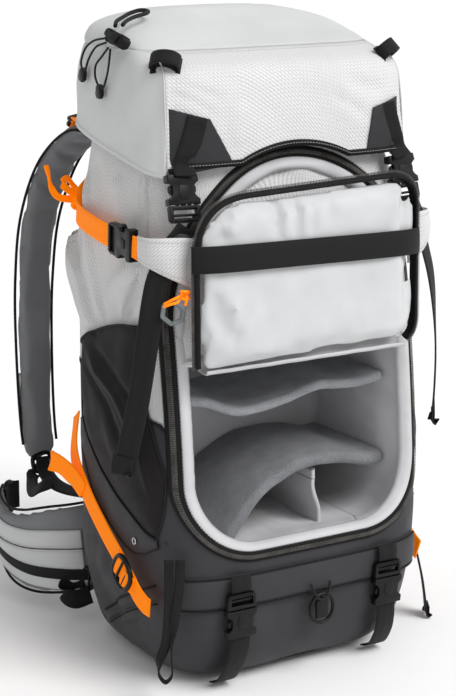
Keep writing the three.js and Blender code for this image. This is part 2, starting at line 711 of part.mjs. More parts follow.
// ---- harness: hip belt wings, shoulder straps, haul handle ----
{
  const wing = [
    [-116, 134, 88], [-156, 150, 84], [-182, 190, 74], [-188, 235, 72], [-178, 282, 84], [-158, 312, 98],
  ].map((p) => V(...p));
  const wingWidth = (t) => 112 - 50 * t * t;
  addPair('hip_wing', padAlong(wing, () => V(0, 0, 1), wingWidth, (t) => 20 - 6 * t, 16), 'smooth');
  const strap = [
    [-76, 131, 548], [-80, 150, 574], [-91, 190, 578], [-108, 236, 540], [-124, 262, 470],
    [-132, 268, 390], [-137, 262, 300], [-140, 250, 210], [-140, 240, 170],
  ].map((p) => V(...p));
  const strapWidth = (t) => 62 - 14 * t;
  addPair('shoulder_strap', padAlong(strap, () => V(1, 0.1, 0), strapWidth, (t) => 17 - 4 * t, 26), 'pad');
  const lifter = [V(-118, 119.5, 596), V(-112, 140, 598), V(-100, 168, 596), V(-95, 186, 592.5)];
  addPair('load_lifter', ribbon(lifter, () => V(1, 0.35, 0), 20, WEB_THICK, 8), 'orange');
  const handle = [
    [-30, 125.8, 574], [-27, 134, 564], [-14, 143, 555], [14, 143, 555], [27, 134, 564], [30, 125.8, 574],
  ];
  const grip = (t) => 8 + 14 * Math.sin(Math.PI * t) ** 0.6;
  add('haul_handle', ribbon(handle.map((p) => V(...p)), () => V(0, 0.45, 1), grip, 4, 16), 'webbing');
}

export default root;
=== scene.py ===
"""Hiking camera backpack: fabric, padding, webbing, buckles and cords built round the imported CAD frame."""
import json
import math

import bpy
import numpy as np
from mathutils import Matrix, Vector, noise
from mathutils.bvhtree import BVHTree

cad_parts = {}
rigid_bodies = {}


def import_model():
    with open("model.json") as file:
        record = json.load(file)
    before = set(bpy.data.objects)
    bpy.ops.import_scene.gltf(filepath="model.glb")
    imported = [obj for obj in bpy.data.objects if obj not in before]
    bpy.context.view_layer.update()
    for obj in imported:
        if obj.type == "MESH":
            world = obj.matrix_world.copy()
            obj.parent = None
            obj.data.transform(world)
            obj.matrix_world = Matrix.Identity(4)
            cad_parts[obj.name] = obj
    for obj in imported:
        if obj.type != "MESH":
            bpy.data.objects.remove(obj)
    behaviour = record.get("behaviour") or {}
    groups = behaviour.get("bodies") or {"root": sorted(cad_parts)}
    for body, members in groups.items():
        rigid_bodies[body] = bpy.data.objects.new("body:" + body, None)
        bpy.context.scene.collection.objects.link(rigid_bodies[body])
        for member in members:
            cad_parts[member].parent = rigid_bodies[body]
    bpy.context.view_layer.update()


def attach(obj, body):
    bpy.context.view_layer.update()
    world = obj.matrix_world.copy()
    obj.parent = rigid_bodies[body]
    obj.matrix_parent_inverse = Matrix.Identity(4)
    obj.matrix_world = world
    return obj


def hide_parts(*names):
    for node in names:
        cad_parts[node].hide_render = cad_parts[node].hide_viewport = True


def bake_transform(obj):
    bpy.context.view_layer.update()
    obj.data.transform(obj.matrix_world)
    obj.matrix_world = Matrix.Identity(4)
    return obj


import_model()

# Lengths in this script are millimetres and meshes are scaled by MM when they are made.
MM = 0.001
TURN = 2 * math.pi

# Each side's name, and whether its pieces mirror the left ones
SIDES = (("left", False), ("right", True))

# ---- driving shapes: the CAD's, but light and dark fabric meet lower at the front, as in the photograph ----
# Body sections: height, half width, front y, back y
BODY = np.array([
    [0, 122, -92, 100], [12, 142, -118, 114], [42, 158, -138, 120], [105, 169, -148, 122],
    [165, 172, -150, 122], [260, 172, -144, 122], [355, 171, -134, 122], [450, 167, -122, 122],
    [535, 157, -110, 120], [568, 151, -100, 118], [600, 144, -90, 113],
], float)
CORNER = 4.5
# Lid sections: height, half width, front y, back y, superellipse power
LID = np.array([
    [540, 163, -112, 121, 6], [606, 161, -108, 121, 6], [640, 160, -104, 122, 6],
    [662, 158, -99, 122, 6], [675, 155, -88, 122, 5.6], [685, 151, -60, 122, 5.2],
    [698, 145, -16, 120, 5], [708, 136, 14, 117, 4.6], [716, 116, 40, 110, 4], [722, 84, 58, 100, 3.4],
], float)
OPENING = dict(half=148, sill=160, fold=355, shoulder=405, top=574, corner=78)
# Top line of the dark lower fabric: at the front, past the front corner and at the back seam
BOOT_FRONT, BOOT_CORNER, BOOT_BACK = 262, 302, 335
BACK_SEAM = 96
# Lowest and highest line of the shell's cloth, and how far the zip runs outside the opening
FOOT, RIM = 10, 600
ZIP_OUT = 6.5
# The door's fold line, and how many degrees it leans forwards
DOOR = dict(y=-147, z=357, lean=3)
WEB, WEB_THICK = 25, 1.8


def vec(*p):
    return np.array(p, float)


def unit(v):
    v = np.asarray(v, float)
    return v / np.maximum(np.linalg.norm(v, axis=-1, keepdims=True), 1e-9)


def smoothstep(t):
    t = np.clip(t, 0, 1)
    return t * t * (3 - 2 * t)


def rows_at(table, z):
    """Columns of a section table at heights z, by cubic Hermite interpolation."""
    z = np.asarray(z, float)
    i = np.clip(np.searchsorted(table[:, 0], z, side="left") - 1, 0, len(table) - 2)
    a, b = table[i], table[i + 1]
    before, after = table[np.maximum(i - 1, 0)], table[np.minimum(i + 2, len(table) - 1)]
    span = (b - a)[..., :1]
    t = np.clip((z - a[..., 0])[..., None] / span, 0, 1)
    slope_a = (b - before) / (b - before)[..., :1] * span
    slope_b = (after - a) / (after - a)[..., :1] * span
    out = (2 * t**3 - 3 * t**2 + 1) * a + (3 * t**2 - 2 * t**3) * b
    out = out + (t**3 - 2 * t**2 + t) * slope_a + (t**3 - t**2) * slope_b
    return [out[..., k] for k in range(1, table.shape[1])]


def ring_point(phi, z, half, front, back, power, out):
    c, s = np.cos(phi), np.sin(phi)
    rho = (np.abs(c) ** power + np.abs(s) ** power) ** (1 / power)
    x = (half + out) * c / rho
    y = (front + back) / 2 + ((back - front) / 2 + out) * s / rho
    return np.stack(np.broadcast_arrays(x, y, z), -1)


def body_skin(phi, z, out=0.0):
    half, front, back = rows_at(BODY, z)
    return ring_point(phi, z, half, front, back, CORNER, out)


def lid_skin(phi, z, out=0.0):
    half, front, back, power = rows_at(LID, z)
    return ring_point(phi, z, half, front, back, power, out)


def superellipse_angle(degrees, power):
    """Direction angle of the point that the CAD's section formula gives at an angle."""
    a = math.radians(degrees)
    x = math.copysign(abs(math.cos(a)) ** (2 / power), math.cos(a))
    y = math.copysign(abs(math.sin(a)) ** (2 / power), math.sin(a))
    return math.atan2(y, x)


def around(degrees, z, out):
    return body_skin(superellipse_angle(degrees, CORNER), float(z), out)


def around_lid(degrees, z, out):
    power = float(rows_at(LID, float(z))[3])
    return lid_skin(superellipse_angle(degrees, power), float(z), out)


def front_phi(x, z, table=BODY):
    """Angle, from pi to 2 pi, of the front surface at x."""
    values = rows_at(table, z)
    power = values[3] if table is LID else CORNER
    share = np.clip(np.asarray(x, float) / values[0], -0.9999, 0.9999)
    return np.arctan2(-((1 - np.abs(share) ** power) ** (1 / power)), share) % TURN


def front_point(x, z, out=0.0, table=BODY):
    z = np.asarray(z, float)
    skin = lid_skin if table is LID else body_skin
    return skin(front_phi(x, z, table), z, out)


def side_phi(y, z):
    """Angle, from pi/2 to 3 pi/2, of the left side's surface at y."""
    _, front, back = rows_at(BODY, z)
    share = np.clip((y - (front + back) / 2) / ((back - front) / 2), -0.9999, 0.9999)
    return np.arctan2(share, -((1 - np.abs(share) ** CORNER) ** (1 / CORNER))) % TURN


def side_point(y, z, out=0.0):
    z = np.asarray(z, float)
    return body_skin(side_phi(np.asarray(y, float), z), z, out)


# ---- camera, light and floor ----
def linked(name, data):
    """A new object in the scene."""
    made = bpy.data.objects.new(name, data)
    bpy.context.scene.collection.objects.link(made)
    return made


TARGET = Vector((0.0, 0.030, 0.337))
AZIMUTH, ELEVATION, DISTANCE = math.radians(-31), math.radians(14), 2.19


def studio():
    camera = linked("camera", bpy.data.cameras.new("camera"))
    camera.data.lens = 98.3
    camera.data.sensor_width = 36
    camera.data.clip_end = 50
    back = Vector((
        math.sin(AZIMUTH) * math.cos(ELEVATION),
        -math.cos(AZIMUTH) * math.cos(ELEVATION),
        math.sin(ELEVATION),
    ))
    camera.location = TARGET + back * DISTANCE
    camera.rotation_euler = back.to_track_quat("Z", "Y").to_euler()
    scene = bpy.context.scene
    scene.camera = camera
    scene.view_settings.view_transform = "Standard"

    def light(name, place, size, power):
        data = bpy.data.lights.new(name, "AREA")
        data.shape = "DISK"
        data.size = size
        data.energy = power
        lamp = linked(name, data)
        lamp.location = place
        lamp.rotation_euler = (Vector(place) - TARGET).to_track_quat("Z", "Y").to_euler()

    light("fill", (2.6, -1.5, 1.5), 2.2, 10)
    sun = linked("key", bpy.data.lights.new("key", "SUN"))
    sun.data.energy = 2.3
    sun.data.angle = math.radians(35)
    sun.rotation_euler = Vector((0.42, -1.05, 1.35)).to_track_quat("Z", "Y").to_euler()
    world = bpy.data.worlds.new("studio")
    world.use_nodes = True
    background = world.node_tree.nodes["Background"].inputs
    background["Color"].default_value = (1, 1, 1, 1)
    background["Strength"].default_value = 0.56
    scene.world = world
    mesh = bpy.data.meshes.new("floor")
    far, low = 14.0, -0.0005
    corners = [(-far, -far, low), (far, -far, low), (far, far, low), (-far, far, low)]
    mesh.from_pydata(corners, [], [(0, 1, 2, 3)])
    floor = linked("floor", mesh)
    paper = bpy.data.materials.new("floor_paper")
    paper.use_nodes = True
    shader = paper.node_tree.nodes["Principled BSDF"]
    shader.inputs["Base Color"].default_value = (0.93, 0.93, 0.93, 1)
    shader.inputs["Roughness"].default_value = 0.9
    mesh.materials.append(paper)


studio()


# ---- materials ----
def linear(code):
    """Linear colour of a six-digit sRGB code."""
    parts = [int(code[i : i + 2], 16) / 255 for i in (0, 2, 4)]
    return [p / 12.92 if p <= 0.04045 else ((p + 0.055) / 1.055) ** 2.4 for p in parts]


class Finish:
    """A material and short ways to add its nodes. Pattern coordinates are millimetres along the cloth."""

    def __init__(self, name, roughness, **sockets):
        self.material = bpy.data.materials.new(name)
        self.material.use_nodes = True
        self.tree = self.material.node_tree
        self.shader = self.tree.nodes["Principled BSDF"]
        self.shader.inputs["Roughness"].default_value = roughness
        self.shader.inputs["Specular IOR Level"].default_value = 0.16
        for key, value in sockets.items():
            self.shader.inputs[key.replace("_", " ")].default_value = value
        weave = self.node("Attribute", attribute_name="weave").outputs["Vector"]
        parts = self.node("SeparateXYZ", weave).outputs
        self.u, self.v = parts[0], parts[1]
        self.place = self.node("TexCoord").outputs["Object"]

    def node(self, kind, *values, **props):
        made = self.tree.nodes.new("ShaderNode" + kind)
        for key, value in props.items():
            setattr(made, key, value)
        for socket, value in zip(made.inputs, values):
            if isinstance(value, bpy.types.NodeSocket):
                self.tree.links.new(value, socket)
            elif value is not None:
                socket.default_value = value
        return made

    def math(self, operation, *values):
        return self.node("Math", *values, operation=operation).outputs[0]

    def wave(self, value, period):
        """Triangle wave from 0 to 1."""
        half = self.math("PINGPONG", value, period / 2)
        return self.math("MULTIPLY", half, 2 / period)

    def noise(self, scale, detail=3.0):
        return self.node("TexNoise", self.place, None, scale, detail).outputs[0]

    def span(self, value, low, high, to_low=0.0, to_high=1.0):
        return self.node("MapRange", value, low, high, to_low, to_high).outputs[0]

    def colour(self, code, low, high, factor):
        """Base colour between two strengths of a colour."""
        base = linear(code)
        mix = self.node("Mix", factor, data_type="RGBA")
        mix.inputs[6].default_value = (*[c * low for c in base], 1)
        mix.inputs[7].default_value = (*[c * high for c in base], 1)
        self.tree.links.new(mix.outputs[2], self.shader.inputs["Base Color"])

    def glow(self, code, strength):
        """Painted glow: emission that lifts a fluorescent colour above what the lights give it."""
        self.shader.inputs["Specular IOR Level"].default_value = 0.08
        self.shader.inputs["Emission Color"].default_value = (*linear(code), 1)
        self.shader.inputs["Emission Strength"].default_value = strength

    def rough(self, socket):
        self.tree.links.new(socket, self.shader.inputs["Roughness"])

    def bump(self, *heights):
        """Bumps in a chain: pairs of a height socket and its depth in mm."""
        normal = None
        for height, depth in heights:
            made = self.node("Bump", 1.0, depth * MM)
            self.tree.links.new(height, made.inputs["Height"])
            if normal:
                self.tree.links.new(normal, made.inputs["Normal"])
            normal = made.outputs[0]
        self.tree.links.new(normal, self.shader.inputs["Normal"])
        return self.material


def ripstop(name, code, deep=0.72):
    """Fine diagonal cloth with a small grid of thicker threads."""
    f = Finish(name, 0.62, Sheen_Weight=0.05, Sheen_Roughness=0.5)
    diagonal = f.math("ADD", f.math("MULTIPLY", f.u, 0.86), f.v)
    twill = f.wave(diagonal, 3.9)
    grid = f.math("MINIMUM", f.wave(f.u, 4.6), f.wave(f.v, 4.6))
    threads = f.span(grid, 0.0, 0.3)
    pattern = f.math("MULTIPLY", f.span(twill, 0.05, 0.6, 0.1), f.span(threads, 0, 1, 0.6, 1))
    wide = f.span(f.noise(9.0, 3), 0.3, 0.7, 0.9, 1.05)
    f.colour(code, deep, 1, f.math("MULTIPLY", pattern, wide))
    return f.bump((twill, 0.3), (threads, 0.2), (f.noise(160.0, 2), 0.25))


def plain_cloth(name, code, rough=0.6, weave=1.1, speckle=0.0, deep=0.85, sheen=0.04, crumple=0.0):
    """Closely woven cloth, with an optional faint speckle in its coating."""
    f = Finish(name, rough, Sheen_Weight=sheen, Sheen_Roughness=0.45)
    cross = f.math("MAXIMUM", f.wave(f.u, weave), f.wave(f.v, weave))
    wide = f.span(f.noise(11.0, 4), 0.3, 0.7)
    tone = f.math("ADD", f.math("MULTIPLY", wide, 0.75), f.math("MULTIPLY", cross, 0.25))
    if speckle:
        dots = f.span(f.noise(420.0, 1), 0.66, 0.72)
        tone = f.math("ADD", tone, f.math("MULTIPLY", dots, speckle))
    f.colour(code, deep, 1.06, tone)
    f.rough(f.span(f.noise(60.0, 3), 0.3, 0.7, rough - 0.06, rough + 0.08))
    heights = [(cross, 0.05), (f.noise(230.0, 2), 0.1)]
    if crumple:
        heights.append((f.noise(28.0, 3), crumple))
    return f.bump(*heights)


def webbing(name, code, rough=0.62, light=1.35, low=0.55, glow=0.0):
    """Ribbed strap: a slanted twill across rows of ribs that run along it."""
    f = Finish(name, rough, Sheen_Weight=0.04, Sheen_Roughness=0.4)
    ribs = f.wave(f.u, 2.4)
    slant = f.wave(f.math("ADD", f.math("PINGPONG", f.u, 6.2), f.v), 1.7)
    edge = f.span(f.math("ABSOLUTE", f.u), 10.2, 11.2)
    twill = f.math("MULTIPLY", slant, f.span(ribs, 0.0, 0.5, 0.55, 1.0))
    tone = f.math("MAXIMUM", twill, f.math("MULTIPLY", edge, 0.7))
    # Painted glow: the strap's colour also emits light.
    if glow:
        f.glow(code, glow)
    shade = f.math("MULTIPLY", tone, f.span(f.noise(40.0), 0.3, 0.7, 0.75, 1))
    f.colour(code, low, light, shade)
    return f.bump((ribs, 0.16), (slant, 0.22))


def knit(name, code, step=1.5, rough=0.8, deep=0.55):
    """Stretch knit or mesh: rows of small open loops."""
    f = Finish(name, rough, Sheen_Weight=0.06, Sheen_Roughness=0.5)
    shifted = f.math("ADD", f.u, f.math("MULTIPLY", f.math("FLOOR", f.math("DIVIDE", f.v, step)), step / 2))
    holes = f.math("MULTIPLY", f.wave(shifted, step), f.wave(f.v, step))
    tone = f.math("MULTIPLY", f.span(holes, 0.1, 0.6), f.span(f.noise(15.0), 0.3, 0.7, 0.7, 1.0))
    f.colour(code, 1.1, deep, tone)
    return f.bump((holes, -0.25), (f.noise(90.0, 2), 0.25))


def felt(name, code):
    f = Finish(name, 0.95, Sheen_Weight=0.2, Sheen_Roughness=0.6)
    fuzz = f.noise(700.0, 4)
    patchy = f.noise(45.0, 4)
    tone = f.math("ADD", f.math("MULTIPLY", fuzz, 0.6), f.math("MULTIPLY", patchy, 0.4))
    f.colour(code, 0.7, 1.25, f.span(tone, 0.35, 0.65))
    return f.bump((fuzz, 0.5), (patchy, 0.5))


def satin(name, code, crumple=0.5, rough=0.42):
    """Coated silvery lining with fine cross threads and soft creases; its colour darkens in the crease
    hollows as painted shade.
    """
    f = Finish(name, rough, Sheen_Weight=0.1)
    cross = f.math("MULTIPLY", f.wave(f.u, 1.6), f.wave(f.v, 1.6))
    creases = f.noise(17.0, 3)
    # Painted shade: the colour follows the crease bumps, darker in their hollows and lighter on their ridges,
    # with the threads' own pattern on top.
    tone = f.math("ADD", f.math("MULTIPLY", f.span(creases, 0.3, 0.7), 0.8), f.math("MULTIPLY", cross, 0.2))
    f.colour(code, 0.9, 1.04, tone)
    f.rough(f.span(f.noise(35.0, 2), 0.3, 0.7, rough - 0.05, rough + 0.08))
    return f.bump((cross, 0.04), (creases, crumple))


def plastic(name, code, rough=0.38):
    f = Finish(name, rough, Specular_IOR_Level=0.26)
    grain = f.noise(900.0, 2)
    wear = f.noise(60.0, 4)
    f.colour(code, 0.8, 1.5, f.span(wear, 0.4, 0.8))
    f.rough(f.span(wear, 0.3, 0.7, rough - 0.08, rough + 0.1))
    return f.bump((grain, 0.06))


def braid(name, code, glow=0.0):
    """Braided cord: two sets of strands that cross."""
    step = 1.4
    f = Finish(name, 0.65, Sheen_Weight=0.05)
    # Painted glow: the cord's colour also emits light.
    if glow:
        f.glow(code, glow)
    one = f.wave(f.math("ADD", f.u, f.v), step)
    two = f.wave(f.math("SUBTRACT", f.u, f.v), step)
    strands = f.math("MAXIMUM", one, two)
    f.colour(code, 0.6, 1.4, strands)
    return f.bump((strands, 0.15))


def metal(name, code):
    f = Finish(name, 0.3, Metallic=1.0)
    scuff = f.noise(400.0, 3)
    f.colour(code, 0.8, 1, scuff)
    f.rough(f.span(scuff, 0.3, 0.7, 0.22, 0.4))
    return f.bump((scuff, 0.03))


M = {
    "ripstop": ripstop("ripstop_light", "dcdcdc"),
    "smooth": plain_cloth("shell_light", "c9cbcb", 0.6, 0.9, deep=0.93),
    "coated": plain_cloth("coated_dark", "39383b", 0.52, 1.3, speckle=0.35, deep=0.86, crumple=0.35),
    "dark_rip": ripstop("ripstop_dark", "3e3e41", 0.72),
    "stretch": plain_cloth("stretch_dark", "1b1819", 0.7, 0.8, deep=0.85, sheen=0.06),
    "patch": plain_cloth("patch_dark", "333335", 0.55, 1.2, deep=0.72, crumple=0.4),
    "lining": satin("door_lining", "c9cacb"),
    "liner": satin("box_liner", "c4c4c6", 0.9, 0.55),
    "felt_dark": felt("divider_felt", "77787b"),
    "felt_light": felt("divider_foam", "8c8e92"),
    "pad": plain_cloth("strap_cover", "7e8083", 0.72, 1.2, deep=0.82, sheen=0.06),
    "mesh": knit("pad_mesh", "303134", 3.2),
    "web": webbing("webbing_black", "1d1d1d"),
    # Orange webbing with a painted glow: its colour emits light at strength 0.3.
    "orange": webbing("webbing_orange", "ff8400", 0.6, 1.0, 0.85, 0.3),
    "elastic": knit("elastic_black", "1b1b1c", 1.6, 0.75, 0.4),
    "tape": plain_cloth("zip_tape", "1a1919", 0.7, 1.0, deep=0.6),
    # Zip teeth: their grey is painted highlight, lightened from the teeth's own dark colour to stand in for
    # their glints.
    "coil": plastic("zip_coil_painted_highlight", "5d5a57", 0.3),
    "plastic": plastic("buckle_plastic", "0d0d0e"),
    "cord": braid("cord_black", "1c1c1d"),
    # Orange cord with a painted glow: its colour emits light at strength 0.3.
    "cord_orange": braid("cord_orange", "ff8410", 0.3),
    "grip": plastic("pull_grey", "6f7476", 0.5),
    "metal": metal("eyelet_metal", "c8c8cc"),
    "thread_light": plain_cloth("thread_light", "bdbdbd", 0.7, 0.5),
    "thread_dark": plain_cloth("thread_dark", "222223", 0.7, 0.5),
}


# ---- mesh building ----
def vectors(items, key):
    """A vector of each vertex or attribute item of a mesh, as rows of an array."""
    values = np.zeros(len(items) * 3, np.float32)
    items.foreach_get(key, values)
    return values.reshape(-1, 3)


def set_weave(mesh, flat):
    """Stores each vertex's place along the cloth, in mm, for the materials."""
    layer = mesh.attributes.get("weave") or mesh.attributes.new("weave", "FLOAT_VECTOR", "POINT")
    values = np.zeros((len(mesh.vertices), 3), np.float32)
    values[:, :2] = flat
    layer.data.foreach_set("vector", values.ravel())


def shade_smooth(mesh):
    mesh.polygons.foreach_set("use_smooth", [True] * len(mesh.polygons))
    mesh.update()


def subdivide(piece, levels):
    finer = piece.modifiers.new("finer", "SUBSURF")
    finer.levels = finer.render_levels = levels


def enter(piece, body, slot, replaces):
    """Gives a piece its body and hides the CAD nodes that it stands for; its material slot is not used."""
    if body:
        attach(piece, body)
    if replaces:
        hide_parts(*replaces)
    return piece


def build(name, points, faces, material, body, slot, replaces=(), weave=None, thick=0.0, inner=None,
          divide=0, bevel=0.0, mirror=False):
    """A mesh object in the row frame that rides on a body. thick grows it inwards, against its normals."""
    mesh = bpy.data.meshes.new(name)
    points = np.asarray(points, float).reshape(-1, 3)
    if mirror:
        points = points * [-1, 1, 1]
        faces = [f[::-1] for f in faces]
    mesh.from_pydata((points * MM).tolist(), [], faces)
    mesh.materials.append(M[material])
    if weave is not None:
        set_weave(mesh, np.asarray(weave, float).reshape(-1, 2))
    shade_smooth(mesh)
    piece = linked(name, mesh)
    if thick:
        solid = piece.modifiers.new("thickness", "SOLIDIFY")
        solid.thickness = thick * MM
        solid.offset = -1
        if inner:
            mesh.materials.append(M[inner])
            solid.material_offset = 1
    if bevel:
        rounded = piece.modifiers.new("rounding", "BEVEL")
        rounded.width = bevel * MM
        rounded.segments = 3
        rounded.limit_method = "ANGLE"
        rounded.angle_limit = math.radians(35)
        rounded.harden_normals = False
    if divide:
        subdivide(piece, divide)
    return enter(piece, body, slot, replaces)


def grid_faces(rows, cols, closed=False, keep=None):
    faces = []
    for i in range(rows - 1):
        for j in range(cols if closed else cols - 1):
            if keep is None or keep[i, j]:
                k = (j + 1) % cols
                faces.append((i * cols + j, i * cols + k, (i + 1) * cols + k, (i + 1) * cols + j))
    return faces


def end_faces(rows, cols):
    """The two flat ends of closed rows."""
    return [tuple(range(cols))[::-1], tuple((rows - 1) * cols + k for k in range(cols))]


def lengths_along(points, axis):
    """Distances run along an axis of a grid of points, starting at 0."""
    steps = np.linalg.norm(np.diff(points, axis=axis), axis=-1)
    zero = np.zeros_like(np.take(steps, [0], axis=axis))
    return np.concatenate([zero, np.cumsum(steps, axis=axis)], axis=axis)


def grid(name, points, material, body, slot, closed=False, keep=None, weave=None, flip=False, **rest):
    """A cloth panel from rows and columns of points."""
    rows, cols = points.shape[:2]
    if weave is None:
        weave = np.stack([lengths_along(points, 1), lengths_along(points, 0)], -1)
    faces = grid_faces(rows, cols, closed, keep)
    if flip:
        faces = [f[::-1] for f in faces]
    return build(name, points, faces, material, body, slot, weave=weave, **rest)


def smooth_path(points, count):
    """Centripetal Catmull-Rom curve through the points, at count even steps."""
    p = np.asarray(points, float)
    p = np.vstack([2 * p[0] - p[1], p, 2 * p[-1] - p[-2]])
    fine = []
    for i in range(1, len(p) - 2):
        knots = [0.0]
        for a, b in zip(p[i - 1 : i + 2], p[i : i + 3]):
            knots.append(knots[-1] + max(np.linalg.norm(b - a) ** 0.5, 1e-4))
        t0, t1, t2, t3 = knots
        t = np.linspace(t1, t2, 24, endpoint=i == len(p) - 3)[:, None]
        a1 = (t1 - t) / (t1 - t0) * p[i - 1] + (t - t0) / (t1 - t0) * p[i]
        a2 = (t2 - t) / (t2 - t1) * p[i] + (t - t1) / (t2 - t1) * p[i + 1]
        a3 = (t3 - t) / (t3 - t2) * p[i + 1] + (t - t2) / (t3 - t2) * p[i + 2]
        b1 = (t2 - t) / (t2 - t0) * a1 + (t - t0) / (t2 - t0) * a2
        b2 = (t3 - t) / (t3 - t1) * a2 + (t - t1) / (t3 - t1) * a3
        fine.append((t2 - t) / (t2 - t1) * b1 + (t - t1) / (t2 - t1) * b2)
    return even(np.vstack(fine), count)


def even(points, count):
    """The same polyline at count even steps."""
    points = np.asarray(points, float)
    run = lengths_along(points, 0)
    at = np.linspace(0, run[-1], count)
    return np.stack([np.interp(at, run, points[:, k]) for k in range(3)], -1)


def tangents(path, closed=False):
    if closed:
        return unit(np.roll(path, -1, 0) - np.roll(path, 1, 0))
    return unit(np.gradient(path, axis=0))


def carried_frames(path):
    """Two directions across the path, carried along it without twist."""
    t = tangents(path)
    start = vec(0, 0, 1) if abs(t[0][2]) < 0.9 else vec(1, 0, 0)
    side = unit(np.cross(t[0], start))
    sides = []
    for d in t:
        side = unit(side - d * side.dot(d))
        sides.append(side)
    sides = np.array(sides)
    return sides, np.cross(t, sides)


def swept(path, side, normal, section):
    """Rows of section points, (a, b) in mm across the side and normal directions."""
    section = np.asarray(section, float)
    if section.ndim == 2:
        section = np.broadcast_to(section, (len(path), *section.shape))
    return path[:, None] + side[:, None] * section[..., :1] + normal[:, None] * section[..., 1:]


def closed_sweep(name, rows, material, body, slot, section_u=None, **rest):
    """Skin through closed rows, with flat ends."""
    count, sides = rows.shape[:2]
    faces = grid_faces(count, sides, closed=True) + end_faces(count, sides)
    v = np.broadcast_to(lengths_along(rows.mean(1), 0)[:, None], (count, sides))
    u = section_u
    if u is None:
        u = lengths_along(np.concatenate([rows, rows[:, :1]], 1), 1)[:, :-1]
    weave = np.stack([np.broadcast_to(u, (count, sides)), v], -1)
    return build(name, rows, faces, material, body, slot, weave=weave, **rest)


STRAP_A = np.array([-1, -0.95, -0.5, 0, 0.5, 0.95, 1, 0.95, 0.5, 0, -0.5, -0.95])
STRAP_B = np.array([0, -1, -1, -1, -1, -1, 0, 1, 1, 1, 1, 1])


def banded(points, across, count):
    """Path through the points, shares of its length, and its width and normal directions."""
    path = smooth_path(points, count)
    t = tangents(path)
    shares = np.linspace(0, 1, count)
    side = np.array([across(s) for s in shares], float)
    side = unit(side - t * (side * t).sum(-1, keepdims=True))
    return path, shares, side, np.cross(t, side)


def strap(name, points, across, width, thick, body, material="web", slot="black_webbing", count=60,
          curl=0.0, **rest):
    """Flat webbing along a path. across(t) is its width direction."""
    path, shares, side, normal = banded(points, across, count)
    w = np.array([width(s) if callable(width) else width for s in shares])[:, None]
    a = STRAP_A[None] * w / 2
    b = STRAP_B[None] * thick / 2 + curl * (1 - STRAP_A[None] ** 2) + 0 * w
    rows = swept(path, side, normal, np.stack([a, b], -1))
    return closed_sweep(name, rows, material, body, slot, section_u=a, **rest)


def round_rows(path, radius, sides):
    """Rows of a round section along a path, and the way round it in mm."""
    side, normal = carried_frames(path)
    a = np.linspace(0, TURN, sides, endpoint=False)
    r = np.broadcast_to(np.asarray(radius, float), (len(path),))[:, None]
    return swept(path, side, normal, np.stack([r * np.cos(a), r * np.sin(a)], -1)), a[None] * r


def tube(name, path, radius, material, body, slot, sides=10, **rest):
    rows, _ = round_rows(path, radius, sides)
    return closed_sweep(name, rows, material, body, slot, **rest)


def joined(name, parts, material, body, slot, **rest):
    """One mesh from several (points, faces, weave) parts."""
    points, faces, weave, start = [], [], [], 0
    for p, f, w in parts:
        p = np.asarray(p, float).reshape(-1, 3)
        points.append(p)
        faces.extend(tuple(k + start for k in face) for face in f)
        weave.append(np.asarray(w, float).reshape(-1, 2) if w is not None else p[:, :2])
        start += len(p)
    return build(name, np.vstack(points), faces, material, body, slot, weave=np.vstack(weave), **rest)


def tube_part(path, radius, sides=8, closed=False):
    """A cord's points, faces and cloth coordinates, for joined."""
    rows, u = round_rows(path, radius, sides)
    faces = grid_faces(len(path), sides, closed=True)
    if closed:
        last = (len(path) - 1) * sides
        faces += [(last + k, last + (k + 1) % sides, (k + 1) % sides, k) for k in range(sides)]
    else:
        faces += end_faces(len(path), sides)
    v = np.broadcast_to(lengths_along(path, 0)[:, None], (len(path), sides))
    return rows, faces, np.stack([u, v], -1)


def stitches(name, lines, body, material="thread_dark", slot="black_webbing", pitch=4.2, length=2.7,
             radius=0.42, **rest):
    """Rows of short raised threads along lines that lie on a surface."""
    parts = []
    for line in lines:
        run = lengths_along(np.asarray(line, float), 0)[-1]
        count = max(int(run / pitch), 1)
        fine = even(line, count * 6 + 1)
        reach = max(int(round(6 * length / pitch)), 2)
        for k in range(count):
            piece = fine[k * 6 : k * 6 + reach + 1]
            if len(piece) > 2:
                taper = np.sin(np.linspace(0.5, math.pi - 0.5, len(piece)))
                parts.append(tube_part(piece, radius * taper, 5))
    return joined(name, parts, material, body, slot, **rest)


def piping(name, line, body, radius=1.3, material="tape", slot="coated_fabric", **rest):
    line = np.asarray(line, float)
    run = lengths_along(line, 0)[-1]
    return tube(name, even(line, max(int(run / 4), 8)), radius, material, body, slot, sides=8, **rest)


# ---- creases: seams and folds as heights on a skin ----
def near_line(points, line, outward):
    """Distance to a polyline, the share of its length there and the side, + or -, of each point."""
    a, b = line[:-1], line[1:]
    d = b - a
    rel = points[:, None] - a[None]
    t = np.clip((rel * d[None]).sum(-1) / (d * d).sum(-1)[None], 0, 1)
    gap = rel - t[..., None] * d[None]
    away = np.linalg.norm(gap, axis=-1)
    best = away.argmin(1)
    k = np.arange(len(points))
    run = lengths_along(line, 0)
    share = (run[best] + t[k, best] * (run[best + 1] - run[best])) / run[-1]
    side = np.sign((np.cross(gap[k, best], d[best]) * outward).sum(-1))
    return away[k, best], share, side


def groove(line, depth=1.0, width=1.6):
    return dict(kind="groove", line=np.asarray(line, float), height=-depth, width=width)


def fold(line, height, width, ends=0.3):
    """Soft ridge, or a valley if height is negative, that fades at its ends."""
    return dict(kind="fold", line=np.asarray(line, float), height=height, width=width, ends=ends)


def lap(line, height, width, reach, ends=0.25):
    """One side of the line stands over the other and fades away from it."""
    return dict(kind="lap", line=np.asarray(line, float), height=height, width=width, reach=reach, ends=ends)


